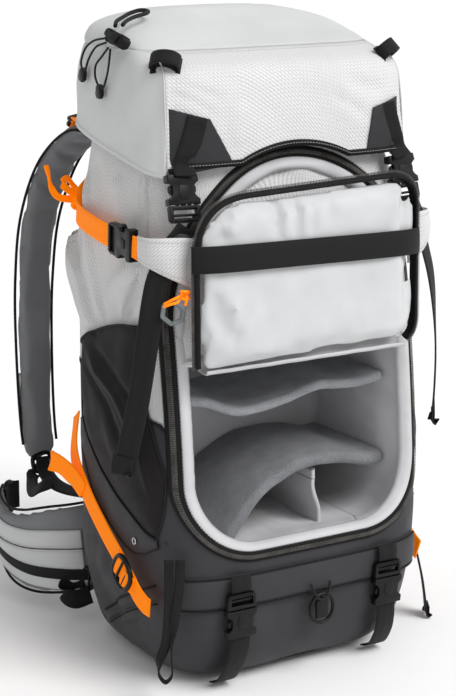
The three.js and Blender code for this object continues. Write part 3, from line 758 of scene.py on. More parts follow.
def crease_heights(points, creases, outward):
    """Height of the creases at each point. outward is the direction off the skin there."""
    shape = points.shape[:-1]
    points, outward = points.reshape(-1, 3), outward.reshape(-1, 3)
    total = np.zeros(len(points))
    for c in creases:
        line = smooth_path(c["line"], 24) if len(c["line"]) > 2 else even(c["line"], 8)
        away, share, side = near_line(points, line, outward)
        if c["kind"] == "groove":
            total += c["height"] * np.exp(-((away / c["width"]) ** 2))
            continue
        fade = smoothstep(share / c["ends"]) * smoothstep((1 - share) / c["ends"])
        if c["kind"] == "fold":
            total += c["height"] * fade * np.exp(-((away / c["width"]) ** 2))
        else:
            signed = away * side
            rise = 0.5 + 0.5 * np.tanh(signed / c["width"])
            total += c["height"] * fade * rise * np.exp(-((np.maximum(signed, 0) / c["reach"]) ** 2))
    return total.reshape(shape)


def ripple(points, size, amount, seed=0.0):
    """Deterministic soft unevenness, size in mm."""
    shift = Vector((seed * 13.7, seed * 7.1, seed * 3.3))
    heights = np.array([noise.noise(Vector(p) / size + shift) for p in points.reshape(-1, 3)])
    return heights.reshape(points.shape[:-1]) * amount


# ---- body: one skin cut along its seams ----
def edge_half(z):
    """Half width of the camera opening's outline, with its arch, at a height."""
    half, sill, shoulder, top, corner = (OPENING[k] for k in ("half", "sill", "shoulder", "top", "corner"))
    z = np.asarray(z, float)
    low = half - corner + np.sqrt(np.clip(corner**2 - (sill + corner - z) ** 2, 0, None))
    arch = half * np.sqrt(np.clip(1 - ((z - shoulder) / (top - shoulder)) ** 2, 0, None))
    return np.where(z < sill, half - corner,
                    np.where(z < sill + corner, low, np.where(z < shoulder, half, arch)))


def side_rise(y):
    """How much higher the lower fabric's top line is than at the front."""
    return np.interp(y, [-136, -103, BACK_SEAM], [0, BOOT_CORNER - BOOT_FRONT, BOOT_BACK - BOOT_FRONT])


def half_skin(heights, rise_share, cols):
    """Angles and heights of the left half, from the back seam round to the opening's edge."""
    share = np.linspace(0, 1, cols)[None]
    flat = heights[:, None] + 0 * share
    z = flat
    for _ in range(2):
        start = side_phi(BACK_SEAM + 0 * flat, z)
        end = front_phi(-np.maximum(edge_half(flat), 0.01), flat)
        phi = start + (end - start) * share
        y = body_skin(phi, z)[..., 1]
        z = flat + side_rise(y) * rise_share[:, None]
    return phi, z


def spokes(points):
    """Level directions away from the bag's middle."""
    flat = np.array(points, float)
    flat[..., 2] = 0
    return unit(flat)


def upright(flat, y=0.0):
    """Points of an x, z outline at depths y."""
    return np.stack([flat[:, 0], y + 0 * flat[:, 0], flat[:, 1]], 1)


def outline(offset, count):
    """Closed outline of the opening and arch in x and z, grown by an offset, with its outward sides."""
    half = OPENING["half"] + offset
    sill, shoulder = OPENING["sill"] - offset, OPENING["shoulder"]
    corner, rise = OPENING["corner"] + offset, OPENING["top"] + offset - OPENING["shoulder"]
    quarter = np.linspace(0, math.pi / 2, 40)
    right_low = np.stack([half - corner + corner * np.sin(quarter),
                          sill + corner - corner * np.cos(quarter)], 1)
    turn = np.linspace(0, math.pi, 120)
    arch = np.stack([half * np.cos(turn), shoulder + rise * np.sin(turn)], 1)
    left_low = (right_low * [-1, 1])[::-1]
    points = np.vstack([right_low, arch, left_low, right_low[:1]])
    path = even(upright(points), count + 1)[:-1]
    t = tangents(path, closed=True)
    side = np.cross(t, vec(0, 1, 0))
    side *= np.sign((side * (path - vec(0, 0, 360))).sum(-1, keepdims=True))
    return path[:, [0, 2]], side[:, [0, 2]]


def on_front(flat, out):
    """Points of an x, z outline laid on the bag's front."""
    return front_point(flat[:, 0], flat[:, 1], out)


def snapped(creases, out=0.0):
    """The same creases, with their lines moved onto the skin where they run along the side."""
    moved = []
    for crease in creases:
        line = crease["line"]
        beside = (line[:, 0] < -150) & (line[:, 1] > -122)
        skin = side_point(line[:, 1], line[:, 2], out)
        moved.append({**crease, "line": np.where(beside[:, None], skin, line)})
    return moved


LEFT_SEAM = [(-157, -56, 566), (-160, -56, 557), (-166, -64, 515), (-168, -71, 477), (-170, -80, 440)]
UPPER_CREASES = snapped([
    groove(LEFT_SEAM, 1.4, 1.5),
    lap([(-165, 104, 492), (-168, 60, 430), (-171, 11, 372)], 6.5, 2.2, 26, 0.2),
    lap([(-160, 96, 560), (-166, 92, 500), (-170, 72, 430), (-171, 48, 370)], 3.5, 3.0, 20, 0.3),
    fold([(-172, -58, 474), (-172, -30, 448), (-172, 10, 400)], 4.2, 9),
    lap([(-164, 72, 566), (-168, 38, 456), (-171, -2, 378)], 4.5, 1.4, 20, 0.22),
    lap([(-164, -70, 470), (-168, -44, 432), (-171, -30, 398)], 3.4, 1.3, 14, 0.3),
    lap([(-164, -56, 474), (-168, -14, 436), (-171, 0, 404)], 3.0, 1.3, 14, 0.3),
    fold([(-172, -72, 462), (-173, -52, 430), (-172, -40, 396)], -3.4, 6),
    fold([(-172, -92, 452), (-173, -80, 432), (-173, -58, 408)], 3.6, 6),
    fold([(-172, -96, 424), (-173, -84, 410), (-173, -62, 398)], -2.4, 4.5),
    fold([(-150, -80, 560), (-164, -58, 520), (-168, -30, 488)], -2.0, 9),
    fold([(-165, 10, 556), (-168, -6, 524), (-170, -10, 500)], 2.2, 11),
    fold([(-160, 60, 574), (-166, 40, 530), (-168, 26, 505)], -2.2, 10),
])
LOWER_CREASES = snapped([
    groove([(-176, -112, 174), (-162, -143, 152), (-146, -150, 143), (-120, -153, 137)], 1.6, 1.8),
    groove([(-172, 101, 131), (-172, 50, 134), (-171, 5, 142)], 1.6, 2.4),
    groove([(-165, 62, 27), (-168, -30, 76), (-170, -111, 118)], 1.6, 1.8),
    groove([(-158, 66, 10), (-168, -30, 56), (-170, -111, 92), (-158, -132, 97)], 1.4, 1.8),
    fold([(-174, -128, 236), (-166, -142, 212), (-140, -152, 186)], -2.6, 7),
    fold([(-172, 40, 118), (-170, -20, 92), (-168, -60, 80)], 4.0, 22),
    fold([(-172, 70, 100), (-172, 20, 66), (-168, -20, 52)], -2.5, 14),
    fold([(-166, -120, 66), (-140, -144, 52), (-110, -144, 50)], -3.4, 9),
    fold([(-150, -138, 78), (-100, -148, 84), (-40, -150, 74)], 2.2, 16),
    fold([(60, -150, 40), (100, -146, 54), (140, -136, 82)], -3.2, 9),
])


def body_height(points, creases, calm=1.0):
    """Height of folds, seams and soft unevenness, which dies away towards the zip."""
    track, _ = outline(ZIP_OUT, 260)
    away = np.sqrt(((points[..., None, [0, 2]] - track) ** 2).sum(-1)).min(-1)
    still = np.where(points[..., 1] < -60, smoothstep((away - 9) / 20), 1.0)
    left = points.copy()
    left[..., 0] = -np.abs(left[..., 0])
    out = crease_heights(left, creases, spokes(left))
    soft = ripple(points, 85, 2.6) + ripple(points, 34, 1.0, 1) + ripple(points, 13, 0.25, 2)
    return out * 1.6 * (0.2 + 0.8 * still) + soft * 1.2 * calm * still


SIDE_COLS, MID_COLS = 120, 56


def boot_tuck(heights):
    """How far the cloth is drawn in along the line between light and dark."""
    return 1.6 * np.exp(-(((heights - BOOT_FRONT) / 2.4) ** 2))[:, None]


def body_panels():
    top = OPENING["top"]
    sill, corner, shoulder = OPENING["sill"], OPENING["corner"], OPENING["shoulder"]
    straight = np.linspace(BOOT_FRONT, shoulder, 56)
    arch = shoulder + (top - shoulder) * np.sin(np.linspace(0, math.pi / 2, 50))
    heights = np.concatenate([straight, arch[1:], np.linspace(top, RIM, 9)[1:]])
    phi, z = half_skin(heights, (RIM - heights) / (RIM - BOOT_FRONT), SIDE_COLS)
    base = body_skin(phi, z)
    for side, sign in (("left", 1), ("right", -1)):
        out = body_height(base * vec(sign, 1, 1), UPPER_CREASES) - boot_tuck(heights)
        points = body_skin(phi, z, out) * vec(sign, 1, 1)
        grid(f"side_fabric_{side}", points, "ripstop", "pack", "ripstop", flip=sign < 0,
             replaces=[f"side_panel_{side}"], thick=3.0, inner="liner")

    low = np.linspace(FOOT, sill, 50)
    curved = sill + corner - corner * np.cos(np.linspace(0, math.pi / 2, 30))
    heights = np.concatenate([low, curved[1:], np.linspace(sill + corner, BOOT_FRONT, 14)[1:]])
    phi, z = half_skin(heights, (heights - FOOT) / (BOOT_FRONT - FOOT), SIDE_COLS)
    inner = edge_half(heights)[:, None] * np.linspace(-1, 1, MID_COLS + 2)[None, 1:-1]
    level = heights[:, None] + 0 * inner
    phi = np.concatenate([phi, front_phi(inner, level), (3 * math.pi - phi[:, ::-1]) % TURN], 1)
    z = np.concatenate([z, level, z[:, ::-1]], 1)
    out = body_height(body_skin(phi, z), LOWER_CREASES, 0.8) - boot_tuck(heights)
    keep = np.ones((len(heights) - 1, phi.shape[1] - 1), bool)
    keep[len(low) - 1 :, SIDE_COLS - 1 : SIDE_COLS + MID_COLS] = False
    grid("lower_fabric", body_skin(phi, z, out), "coated", "pack", "coated_fabric", keep=keep,
         replaces=["base_boot"], thick=3.0, inner="liner")

    # Back fabric from seam to seam, and the base.
    heights = np.linspace(FOOT, RIM, 120)
    start = side_phi(BACK_SEAM + 0 * heights, heights)
    share = np.linspace(0, 1, 90)[None]
    phi = (math.pi - start)[:, None] + (2 * start - math.pi)[:, None] * share
    z = heights[:, None] + 0 * share
    base = body_skin(phi, z)
    out = ripple(base, 60, 1.6, 4) + ripple(base, 20, 0.4, 5)
    edge = 1.5 * (np.exp(-((share * 90 / 1.6) ** 2)) + np.exp(-(((1 - share) * 90 / 1.6) ** 2)))
    grid("back_fabric", body_skin(phi, z, out - edge), "dark_rip", "pack", "ripstop",
         replaces=["back_panel"], thick=3.0, inner="liner")
    rings = [(FOOT, 0), (7, -0.5), (4, -1.5), (1.5, -3.5), (0.4, -7), (0, -14), (0, -34), (0, -60),
             (0.5, -85), (1, -91)]
    cols = 160
    around_phi = np.linspace(0, TURN, cols, endpoint=False)
    points = np.stack([body_skin(around_phi, np.full(cols, float(h)), o) for h, o in rings])
    points[:, :, 2] = np.maximum(points[:, :, 2], 0.2)
    centre = np.array([[0.0, points[-1, :, 1].mean(), 1.0]])
    faces = grid_faces(len(rings), cols, closed=True)
    last = (len(rings) - 1) * cols
    faces += [(last + k, last + (k + 1) % cols, len(rings) * cols) for k in range(cols)]
    every = np.vstack([points.reshape(-1, 3), centre])
    build("base_fabric", every, [f[::-1] for f in faces], "coated", "pack", "coated_fabric",
          weave=every[:, :2])


body_panels()


def body_seams():
    corner = smooth_path(LEFT_SEAM, 60)
    corner = corner + spokes(corner) * 0.3 + vec(0, -3.2, 0)
    for sign in (1, -1):
        start = front_point(-150.0, BOOT_FRONT)[1]
        y = np.linspace(start, BACK_SEAM, 60)
        boot = side_point(y, BOOT_FRONT + side_rise(y), 0.4) * vec(sign, 1, 1)
        side = "left" if sign > 0 else "right"
        piping(f"boot_piping_{side}", boot, "pack", 1.0)
        back = side_point(np.full(60, float(BACK_SEAM)), np.linspace(12, 598, 60), 0.2) * vec(sign, 1, 1)
        piping(f"back_piping_{side}", back, "pack", 1.6)
        stitches(f"corner_stitches_{side}", [corner * vec(sign, 1, 1)], "pack", "thread_light", "ripstop",
                 3.6, 2.4, 0.3)


body_seams()


# ---- zip round the opening and its arch ----
def zip_track():
    count = 520
    path, side = outline(ZIP_OUT, count)
    across = np.array([-5.8, -5.2, -2.5, 0, 2.5, 5.2, 5.8])
    lift = np.array([0.2, 1.1, 1.5, 1.6, 1.5, 1.1, 0.2])
    rows = np.stack([on_front(path + side * a, o) for a, o in zip(across, lift)], 1)
    rows = np.concatenate([rows, rows[:1]])
    grid("zip_tape", rows, "tape", "pack", "zip", thick=0.5, replaces=["zip_track"])
    turns, steps_each = 640, 8
    steps = turns * steps_each
    mid, normal_side = outline(ZIP_OUT, steps)
    angle = np.arange(steps) * TURN / steps_each
    reach = 2.2 * np.cos(angle)
    lift = 2.3 + 1.1 * np.sin(angle)
    flat = mid + normal_side * reach[:, None]
    coil = front_point(flat[:, 0], flat[:, 1], lift)
    joined("zip_teeth", [tube_part(coil, 0.55, 5, closed=True)], "coil", "pack", "zip")
    edges = []
    for offset in (-0.2, 12.2):
        line, _ = outline(offset, count)
        edges.append(on_front(line, 1.5))
    stitches("zip_stitches", [np.vstack([e, e[:1]]) for e in edges], "pack", "thread_dark", "zip", 3.8, 2.6,
             0.35)


zip_track()


# ---- compartment: binding, liner and dividers ----
def rounded_outline(half, low, high, corner, count):
    """Closed rounded rectangle in x and z."""
    top_corner = 12.0
    q = np.linspace(0, math.pi / 2, 16)
    br = np.stack([half - corner + corner * np.sin(q), low + corner - corner * np.cos(q)], 1)
    tr = np.stack([half - top_corner + top_corner * np.cos(q),
                   high - top_corner + top_corner * np.sin(q)], 1)
    points = np.vstack([br, tr, (tr * [-1, 1])[::-1], (br * [-1, 1])[::-1], br[:1]])
    return even(upright(points), count + 1)[:-1][:, [0, 2]]


def compartment():
    count = 260
    rings = []
    depths = np.concatenate([[0, 0.012, 0.03, 0.06], np.linspace(0.1, 1, 18)])
    for d in depths:
        flare = smoothstep(d * 3.2)
        half = 147.5 - 6 * smoothstep(d * 12) - 9.5 * flare
        low = 160.5 + 5 * smoothstep(d * 14) - 12 * flare
        high = 372 + 52 * smoothstep(d * 5)
        flat = rounded_outline(half, low, high, 78 - 36 * flare, count)
        front = on_front(flat, 0.8)
        y = front[:, 1] + (44 - front[:, 1]) * d
        ring = upright(flat, y)
        middle = vec(0, 0, 270)
        inward = unit((middle - ring) * vec(1, 0, 1))
        wave = ripple(ring * vec(1, 0.5, 1), 34, 3.2, 8) + ripple(ring * vec(1, 0.3, 1), 11, 1.6, 9)
        soft = wave * smoothstep(d * 6) + 0.6 * np.sin(d * 60)
        rings.append(ring + inward * soft[:, None] * min(1, d * 12))
    rows = np.array(rings)
    back = rows[-1]
    caps = [back + (vec(0, 44, 280) - back) * s for s in (0.15, 0.4, 0.7, 0.995)]
    for cap in caps:
        cap[:, 1] = 44 + ripple(cap, 40, 1.8, 3)
    rows = np.concatenate([rows, np.array(caps)])
    rows = np.concatenate([rows, rows[:, :1]], 1)
    grid("box_liner", rows, "liner", "pack", "lining", replaces=["camera_box"], thick=2.0, flip=True)
    # Binding just inside the zip.
    path, side = outline(-0.5, 420)
    visible = path[:, 1] < 400
    start = np.argmax(~visible & np.roll(visible, 1))
    path, side = np.roll(path, -start, 0), np.roll(side, -start, 0)
    visible = np.roll(visible, -start)
    path, side = path[visible], side[visible]
    rows = []
    for a, o in ((0.8, 0.3), (0, 1.0), (-1.5, 1.1), (-3.6, 0.2), (-5.0, -1.8), (-6.0, -5.0), (-6.6, -9.0)):
        lay = on_front(path + side * a, o)
        lay[:, 1] -= ripple(lay, 9, 0.8, 2) * min(1, abs(a) / 4)
        rows.append(lay)
    grid("opening_binding", np.stack(rows, 1), "liner", "pack", "lining", thick=0.6)


compartment()


def divider(name, line, thick, front, material, clip=None, replaces=()):
    """Padded board on edge: a centre line in x and z, as deep as the box, with rounded edges."""
    path = smooth_path([(x, 0, z) for x, z in line], 90)
    if clip:
        path = even(path[clip(path)], 80)
    t = tangents(path)
    up = np.cross(vec(0, 1, 0), t)
    up *= np.sign(up[:, 2:] + up[:, :1] * 0.01)
    depth = 43 - front
    q = np.linspace(-math.pi / 2, math.pi / 2, 9)
    nose = [(thick / 2 * math.sin(a), -depth / 2 + thick * 0.42 - thick * 0.42 * math.cos(a)) for a in q]
    tail = [(thick / 2 * math.sin(-a), depth / 2) for a in q[::4]]
    body_line = [(thick / 2 * s, depth * k) for s, k in ((1, -0.3), (1, 0.0), (1, 0.3))]
    other = [(-a, b) for a, b in body_line[::-1]]
    section = np.array(nose + body_line + tail + other)
    path = path + vec(0, (front + 43) / 2, 0)
    rows = swept(path, up, np.broadcast_to(vec(0, 1, 0), path.shape), section)
    rows = rows + up[:, None] * ripple(rows, 26, 1.5, 6)[..., None]
    return closed_sweep(name, rows, material, "pack", "felt_divider", replaces=replaces, divide=1)


UPPER_LINE = [(-150, 328), (-110, 318), (-60, 300), (0, 306), (40, 316), (90, 312), (150, 318)]
LOWER_LINE = [(-88, 140), (-66, 172), (-34, 206), (14, 228), (70, 229), (110, 220), (150, 224)]
SMALL_LINE = [(37, 219), (37, 200), (44, 170), (46, 153)]
divider("divider_upper_pad", UPPER_LINE, 11, -98, "felt_light", replaces=["divider_upper"],
                  clip=lambda p: np.abs(p[:, 0]) < 131)
divider("divider_lower_pad", LOWER_LINE, 15, -102, "felt_dark", replaces=["divider_lower"],
                  clip=lambda p: (p[:, 2] > 152) & (p[:, 0] < 131))
divider("divider_small_board", SMALL_LINE, 5, -96, "liner", replaces=["divider_small"])


# ---- front panel inside the arch, and the gathered gusset that joins it to the door ----
def arch_panel():
    low, top = OPENING["fold"], OPENING["top"]
    rows = []
    for z in np.concatenate([np.linspace(low + 10, 500, 40), np.linspace(502, top - 1, 34)]):
        half = float(edge_half(z)) - 1.0
        x = np.linspace(-half, half, 110)
        base = front_point(x, np.full(110, z), -2.5)
        gather = smoothstep((z - 520) / 40) * (3.0 * np.sin(x / 21 + 1) + 1.6 * np.sin(x / 8.3))
        base[:, 1] -= gather * 0.5 + ripple(base, 30, 2.2, 7)
        rows.append(base)
    grid("arch_panel", np.array(rows), "ripstop", "pack", "ripstop", replaces=["front_panel_upper"],
         thick=2.0, inner="liner")
    path, side = outline(-0.5, 480)
    upper = path[:, 1] > 396
    start = np.argmax(upper & ~np.roll(upper, 1))
    path, side, upper = (np.roll(v, -start, 0) for v in (path, side, upper))
    path, side = path[upper], side[upper]
    share = np.linspace(0, 1, len(path))
    swell = np.sin(math.pi * share) ** 0.35
    run = lengths_along(on_front(path, 0), 0)
    wave = 3.2 * np.sin(run / 19) + 1.8 * np.sin(run / 7.3 + 1.3) + 2.4 * np.sin(run / 41)
    rows = []
    for a, o, w in ((0.8, 0.2, 0), (0, 1.0, 0), (-2.5, 2.4, 0.2), (-5.5, 3.8, 0.6), (-8.5, 3.4, 0.8),
                    (-11, 1.2, 0.6), (-12, -2.5, 0.3)):
        flat = path + side * (a * (0.35 + 0.65 * swell) + 0.35 * w * wave * swell)[:, None]
        rows.append(on_front(flat, o * swell + 0.45 * w * wave * swell))
    grid("arch_binding", np.stack(rows, 1), "liner", "pack", "lining", thick=0.8, divide=1)


arch_panel()


# ---- lid hood ----
LID_CORNER = math.radians(223.5)
LID_SHOULDER = 688
HEM_Y = [-110, -84, -40, 28, 90, 118, 140]
HEM_Z = [563, 563, 571, 583, 598, 605, 606]


def lid_hem(phi):
    """Height of the hood's lower edge at an angle."""
    at = lid_skin(phi, np.full(np.shape(phi), 600.0))
    share = np.clip(np.abs(at[..., 0]) / 163, 0, 1)
    arch = OPENING["shoulder"] + 184 * np.sqrt(1 - share**2)
    front = np.maximum(573, arch)
    side = np.interp(at[..., 1], HEM_Y, HEM_Z)
    corner = (phi > LID_CORNER) & (phi < 3 * math.pi - LID_CORNER)
    return np.where(corner, front, side)


LID_CREASES = [
    fold([(-150, -92, 668), (-120, -100, 655), (-80, -104, 640)], -1.6, 6),
    fold([(-148, -88, 652), (-118, -104, 640), (-90, -106, 622)], -1.4, 5),
    fold([(-140, -80, 677), (-100, -92, 664), (-40, -98, 652)], -1.6, 8),
    fold([(-60, -104, 640), (-72, -105, 612), (-66, -106, 588)], 2.0, 9),
    fold([(60, -104, 660), (100, -100, 644), (128, -98, 640)], -2.0, 8),
    fold([(40, -104, 640), (80, -104, 622), (98, -103, 600)], -1.6, 7),
    fold([(-158, -60, 670), (-160, -40, 630), (-161, -20, 590)], 2.4, 20),
    fold([(-158, -92, 640), (-161, -60, 610), (-161, -50, 580)], -1.6, 14),
    fold([(158, -60, 670), (160, -50, 630), (160, -60, 590)], 3.0, 16),
    fold([(-150, 10, 690), (-120, -30, 694), (-60, -50, 690)], -1.8, 16),
    fold([(-120, 60, 712), (-20, 40, 718), (90, 50, 716)], 2.2, 30),
]


def lid_height(points):
    soft = ripple(points, 95, 2.8, 11) + ripple(points, 36, 1.0, 12) + ripple(points, 14, 0.22, 13)
    return crease_heights(points, LID_CREASES, spokes(points)) + soft


def lid_panel(name, start, stop, cols, material, replaces=()):
    phi = np.linspace(start, stop, cols)[None]
    hem = lid_hem(phi)
    t = np.linspace(0, 1, 46)[:, None]
    z = hem + (LID_SHOULDER - hem) * t
    phi = np.broadcast_to(phi, z.shape)
    base = lid_skin(phi, z)
    out = lid_height(base)
    out -= 1.3 * np.exp(-(((z - LID_SHOULDER) / 2.5) ** 2))
    for corner in (LID_CORNER, 3 * math.pi - LID_CORNER):
        out += 2.6 * np.exp(-(((phi - corner) / 0.035) ** 2)) * smoothstep((680 - z) / 16)
    out += 1.2 * np.exp(-(((z - hem) / 5) ** 2))
    grid(name, lid_skin(phi, z, out), material, "lid", "ripstop", thick=2.4, inner="liner",
         replaces=replaces)


def lid():
    right = 3 * math.pi - LID_CORNER
    lid_panel("lid_front", LID_CORNER, right, 150, "ripstop", ["lid_hood"])
    back_left, back_right = math.radians(133), math.radians(47)
    lid_panel("lid_side_left", back_left, LID_CORNER, 110, "smooth")
    lid_panel("lid_side_right", right, TURN + back_right, 110, "smooth")
    lid_panel("lid_back", back_right, back_left, 70, "smooth")
    heights = np.array([688, 690, 693, 697, 701, 705, 709, 712, 715, 718, 720.5, 722])
    phi = np.linspace(0, TURN, 300)[None]
    z = heights[:, None] + 0 * phi
    base = lid_skin(phi + 0 * z, z)
    out = lid_height(base) - 1.3 * np.exp(-(((z - LID_SHOULDER) / 2.5) ** 2))
    skin = lid_skin(phi + 0 * z, z, out)
    last = skin[-1]
    middle = vec(0, 80, 725)
    closing = []
    for s in (0.12, 0.26, 0.42, 0.6, 0.8, 0.999):
        ring = last + (middle - last) * s
        ring[:, 2] = 722 + 3.0 * (1 - (1 - s) ** 2) + ripple(ring, 40, 1.0, 14) * (1 - s)
        closing.append(ring)
    rows = np.concatenate([skin, np.array(closing)])
    weave = rows[..., :2] * [1, 1.12]
    grid("lid_top", rows, "smooth", "lid", "ripstop", weave=weave, thick=2.4, inner="liner")
    # Stitched hem and the dark binding along the front edge.
    for side, start, stop in (("left", back_left, LID_CORNER), ("right", right, TURN + back_right)):
        phi = np.linspace(start, stop, 120)
        hem = lid_skin(phi, lid_hem(phi) + 4.5, 1.9)
        stitches(f"lid_hem_stitches_{side}", [hem], "lid", "thread_light", "ripstop", 3.4, 2.2, 0.28)
    phi = np.linspace(LID_CORNER + 0.03, right - 0.03, 160)
    section = ((5.5, 0.9), (5.2, 2.0), (2, 2.6), (-0.8, 2.2), (-1.4, 0.2), (-1.0, -1.6))
    rows = np.stack([lid_skin(phi, lid_hem(phi) + h, o) for h, o in section], 1)
    grid("lid_front_binding", rows, "tape", "lid", "zip", thick=0.5)
    edge = lid_skin(phi, lid_hem(phi) + 2.4, 2.9)
    stitches("lid_binding_stitches", [edge], "lid", "thread_light", "zip", 3.6, 2.2, 0.28)
    for side, corner in (("left", LID_CORNER), ("right", right)):
        line = lid_skin(np.full(50, corner), np.linspace(566, 682, 50), 2.2)
        piping(f"lid_corner_{side}", line, "lid", 0.9, "smooth", "ripstop")
    phi = np.linspace(LID_CORNER + 0.02, right - 0.02, 160)
    seam = lid_skin(phi, np.full(160, LID_SHOULDER - 2.6), 0.35)
    stitches("lid_seam_stitches", [seam], "lid", "thread_light", "ripstop", 3.4, 2.2, 0.25)


lid()


def lid_patches():
    shapes = {
        "left": ((None, 634), (-103, 622), (None, 566), (-77, 574)),
        "right": ((99, 622), (139, 631), (91, 574), (137, 574)),
    }
    for side, corners in shapes.items():
        s = np.linspace(0, 1, 36)[None]
        t = np.linspace(0, 1, 40)[:, None]
        ends = []
        for x, z in corners:
            edge = lid_skin(LID_CORNER + 0.012, float(z))[0] if x is None else x
            ends.append((edge, z))
        a, b, c, d = np.array(ends, float)
        x = (a[0] * (1 - s) + b[0] * s) * (1 - t) + (c[0] * (1 - s) + d[0] * s) * t
        z = (a[1] * (1 - s) + b[1] * s) * (1 - t) + (c[1] * (1 - s) + d[1] * s) * t
        base = front_point(x, z, 0, LID)
        points = front_point(x, z, lid_height(base) + 1.2, LID)
        grid(f"lid_patch_{side}", points, "patch", "lid", "coated_fabric", thick=0.9)
        inner_col = 33 if side == "left" else 2
        lines = [points[:, inner_col] + vec(0, -0.5, 0), points[2] + vec(0, -0.5, 0)]
        stitches(f"patch_stitches_{side}", lines, "lid", "thread_dark", "coated_fabric", 3.4, 2.3, 0.3)


lid_patches()


# ---- webbing on the lid's front, down to its buckles ----
def on_lid_front(x, z, out):
    """A point of the hood's front, on top of its folds."""
    base = front_point(float(x), float(z), 0, LID)
    return front_point(float(x), float(z), lid_height(base) + out, LID)


def lid_straps():
    for side, sign in (("left", -1), ("right", 1)):
        flat = [(116, 625), (118.5, 616), (123, 602), (128, 588), (132.5, 577)]
        path = [on_lid_front(sign * x, z, 2.4) for x, z in flat]
        path.append(vec(sign * 137, -114.5, 567))
        strap(f"lid_webbing_{side}", path, lambda t: vec(1, -0.1, 0.1), WEB - 2, 1.8, "lid", count=60,
              replaces=[f"lid_strap_{side}"])
        lines = []
        for z, x in ((619, 118), (584, 129)):
            for step in (0, 5):
                row = [on_lid_front(sign * (x + dx), z - step, 3.6) for dx in (-9, -4, 0, 4, 9)]
                lines.append(row)
        stitches(f"lid_webbing_stitches_{side}", lines, "lid", "thread_dark", "black_webbing", 2.8, 2.0,
                 0.45)


lid_straps()


# ---- buckles ----
def prism(flat, low, high):
    """Closed prism of an x, y outline between two heights: points, faces, no weave."""
    n = len(flat)
    points = [(x, y, low) for x, y in flat] + [(x, y, high) for x, y in flat]
    faces = [tuple(range(n))[::-1], tuple(range(n, 2 * n))]
    faces += [(k, (k + 1) % n, n + (k + 1) % n, n + k) for k in range(n)]
    area = sum(flat[k][0] * flat[(k + 1) % n][1] - flat[(k + 1) % n][0] * flat[k][1] for k in range(n))
    if area < 0:
        faces = [f[::-1] for f in faces]
    return points, faces, None


def slab(x0, x1, y0, y1, z0, z1):
    return prism([(x0, y0), (x1, y0), (x1, y1), (x0, y1)], z0, z1)


def both_sides(flat):
    return flat, [(x, -y) for x, y in flat[::-1]]


def socket_parts():
    edge = [(0, 17.6), (-5, 17.8), (-8.5, 14.2), (-11, 12.6), (-19, 12.4), (-21.5, 14.4), (-23.5, 17.4),
            (-31, 16.8)]
    plate = edge + [(x, -y) for x, y in edge[::-1]]
    parts = [prism(plate, 2.4, 5.2), prism(plate, -5.3, -2.4)]
    for shape in both_sides([(0.3, 14.4), (0.3, 18), (-5.6, 18.1), (-7.5, 15.5), (-5, 14.4)]):
        parts.append(prism(shape, -5.0, 5.0))
    for shape in both_sides([(-22.6, 14.6), (-24, 17.7), (-31.2, 17.1), (-31.2, 13.6), (-24, 13.2)]):
        parts.append(prism(shape, -5.0, 5.0))
    parts.append(slab(-31.4, -28.6, -16, 16, -3.4, 4.6))
    parts.append(slab(-24.6, -22.6, -14, 14, -4.6, 3.0))
    parts.append(prism([(-20, 4.5), (-13, 6.2), (-5, 4.5), (-5, -4.5), (-13, -6.2), (-20, -4.5)], 5.0, 5.9))
    return parts


def plug_parts():
    parts = []
    for shape in both_sides([(1, 13.6), (1, 17.4), (15.5, 17.2), (18, 15.4), (18, 13.4)]):
        parts.append(prism(shape, -3.8, 3.8))
    parts.append(slab(1, 5.2, -15, 15, -3.2, 3.9))
    parts.append(slab(9.4, 12, -14.5, 14.5, -3.0, 2.2))
    parts.append(slab(14.4, 18.4, -15.4, 15.4, -3.6, 4.4))
    parts += [slab(13.9, 18.8, y - 0.75, y + 0.75, 0, 5.1) for y in np.arange(-12.6, 12.7, 2.8)]
    parts.append(slab(-16, 1.5, -2.4, 2.4, -1.7, 1.7))
    arm = [(2, 8.2), (-4, 8.6), (-9, 11.4), (-13.5, 15.6), (-18.6, 15.8), (-21.4, 11.8), (-19.5, 9.6),
           (-14.5, 10.2), (-9.5, 7.2), (-4, 5.6), (2, 5.4)]
    for shape in both_sides(arm):
        parts.append(prism(shape, -2.1, 2.1))
    return parts


def place(at, along, out):
    """Turns and moves local points: x along the strap, z out of its face."""
    x = unit(along)
    z = unit(out - x * np.dot(out, x))
    y = np.cross(z, x)
    turn = np.stack([x, y, z])
    return lambda points: np.asarray(points, float) @ turn + at


def hardware(name, parts, seat, body, replaces=(), mirror=False, bevel=0.7):
    """Plastic parts, drawn in the local frame of place, as one piece."""
    moved = [(seat(p), f, None) for p, f, _ in parts]
    joined(name, moved, "plastic", body, "black_plastic", bevel=bevel, replaces=replaces, mirror=mirror)


SIDE_SEAT = place((-176.5, -42, 492), (0, 1, 0.04), (-1, 0, 0))
BOTTOM_SEAT = place((-96, -156.5, 100), (0, -0.02, 1), (0, -1, 0))
LID_SEAT = place((-139.5, -113, 537), (-0.05, -0.3, -1), (-0.06, -1, 0))


def open_socket_parts():
    """Socket whose back is open towards the body, so that the lid can lift away."""
    front, _, *others = socket_parts()
    return [front, *others]


def buckles():
    kinds = (("side", SIDE_SEAT, socket_parts, "pack", "side_plug_{}"),
             ("bottom", BOTTOM_SEAT, socket_parts, "pack", "bottom_plug_{}"),
             ("lid", LID_SEAT, open_socket_parts, "lid", "pack"))
    for side, mirror in SIDES:
        for kind, seat, socket, body, plug_body in kinds:
            hardware(f"{kind}_buckle_{side}", socket(), seat, body, [f"{kind}_buckle_socket_{side}"], mirror)
            hardware(f"{kind}_buckle_prongs_{side}", plug_parts(), seat, plug_body.format(side),
                     [f"{kind}_buckle_plug_{side}"], mirror)


buckles()


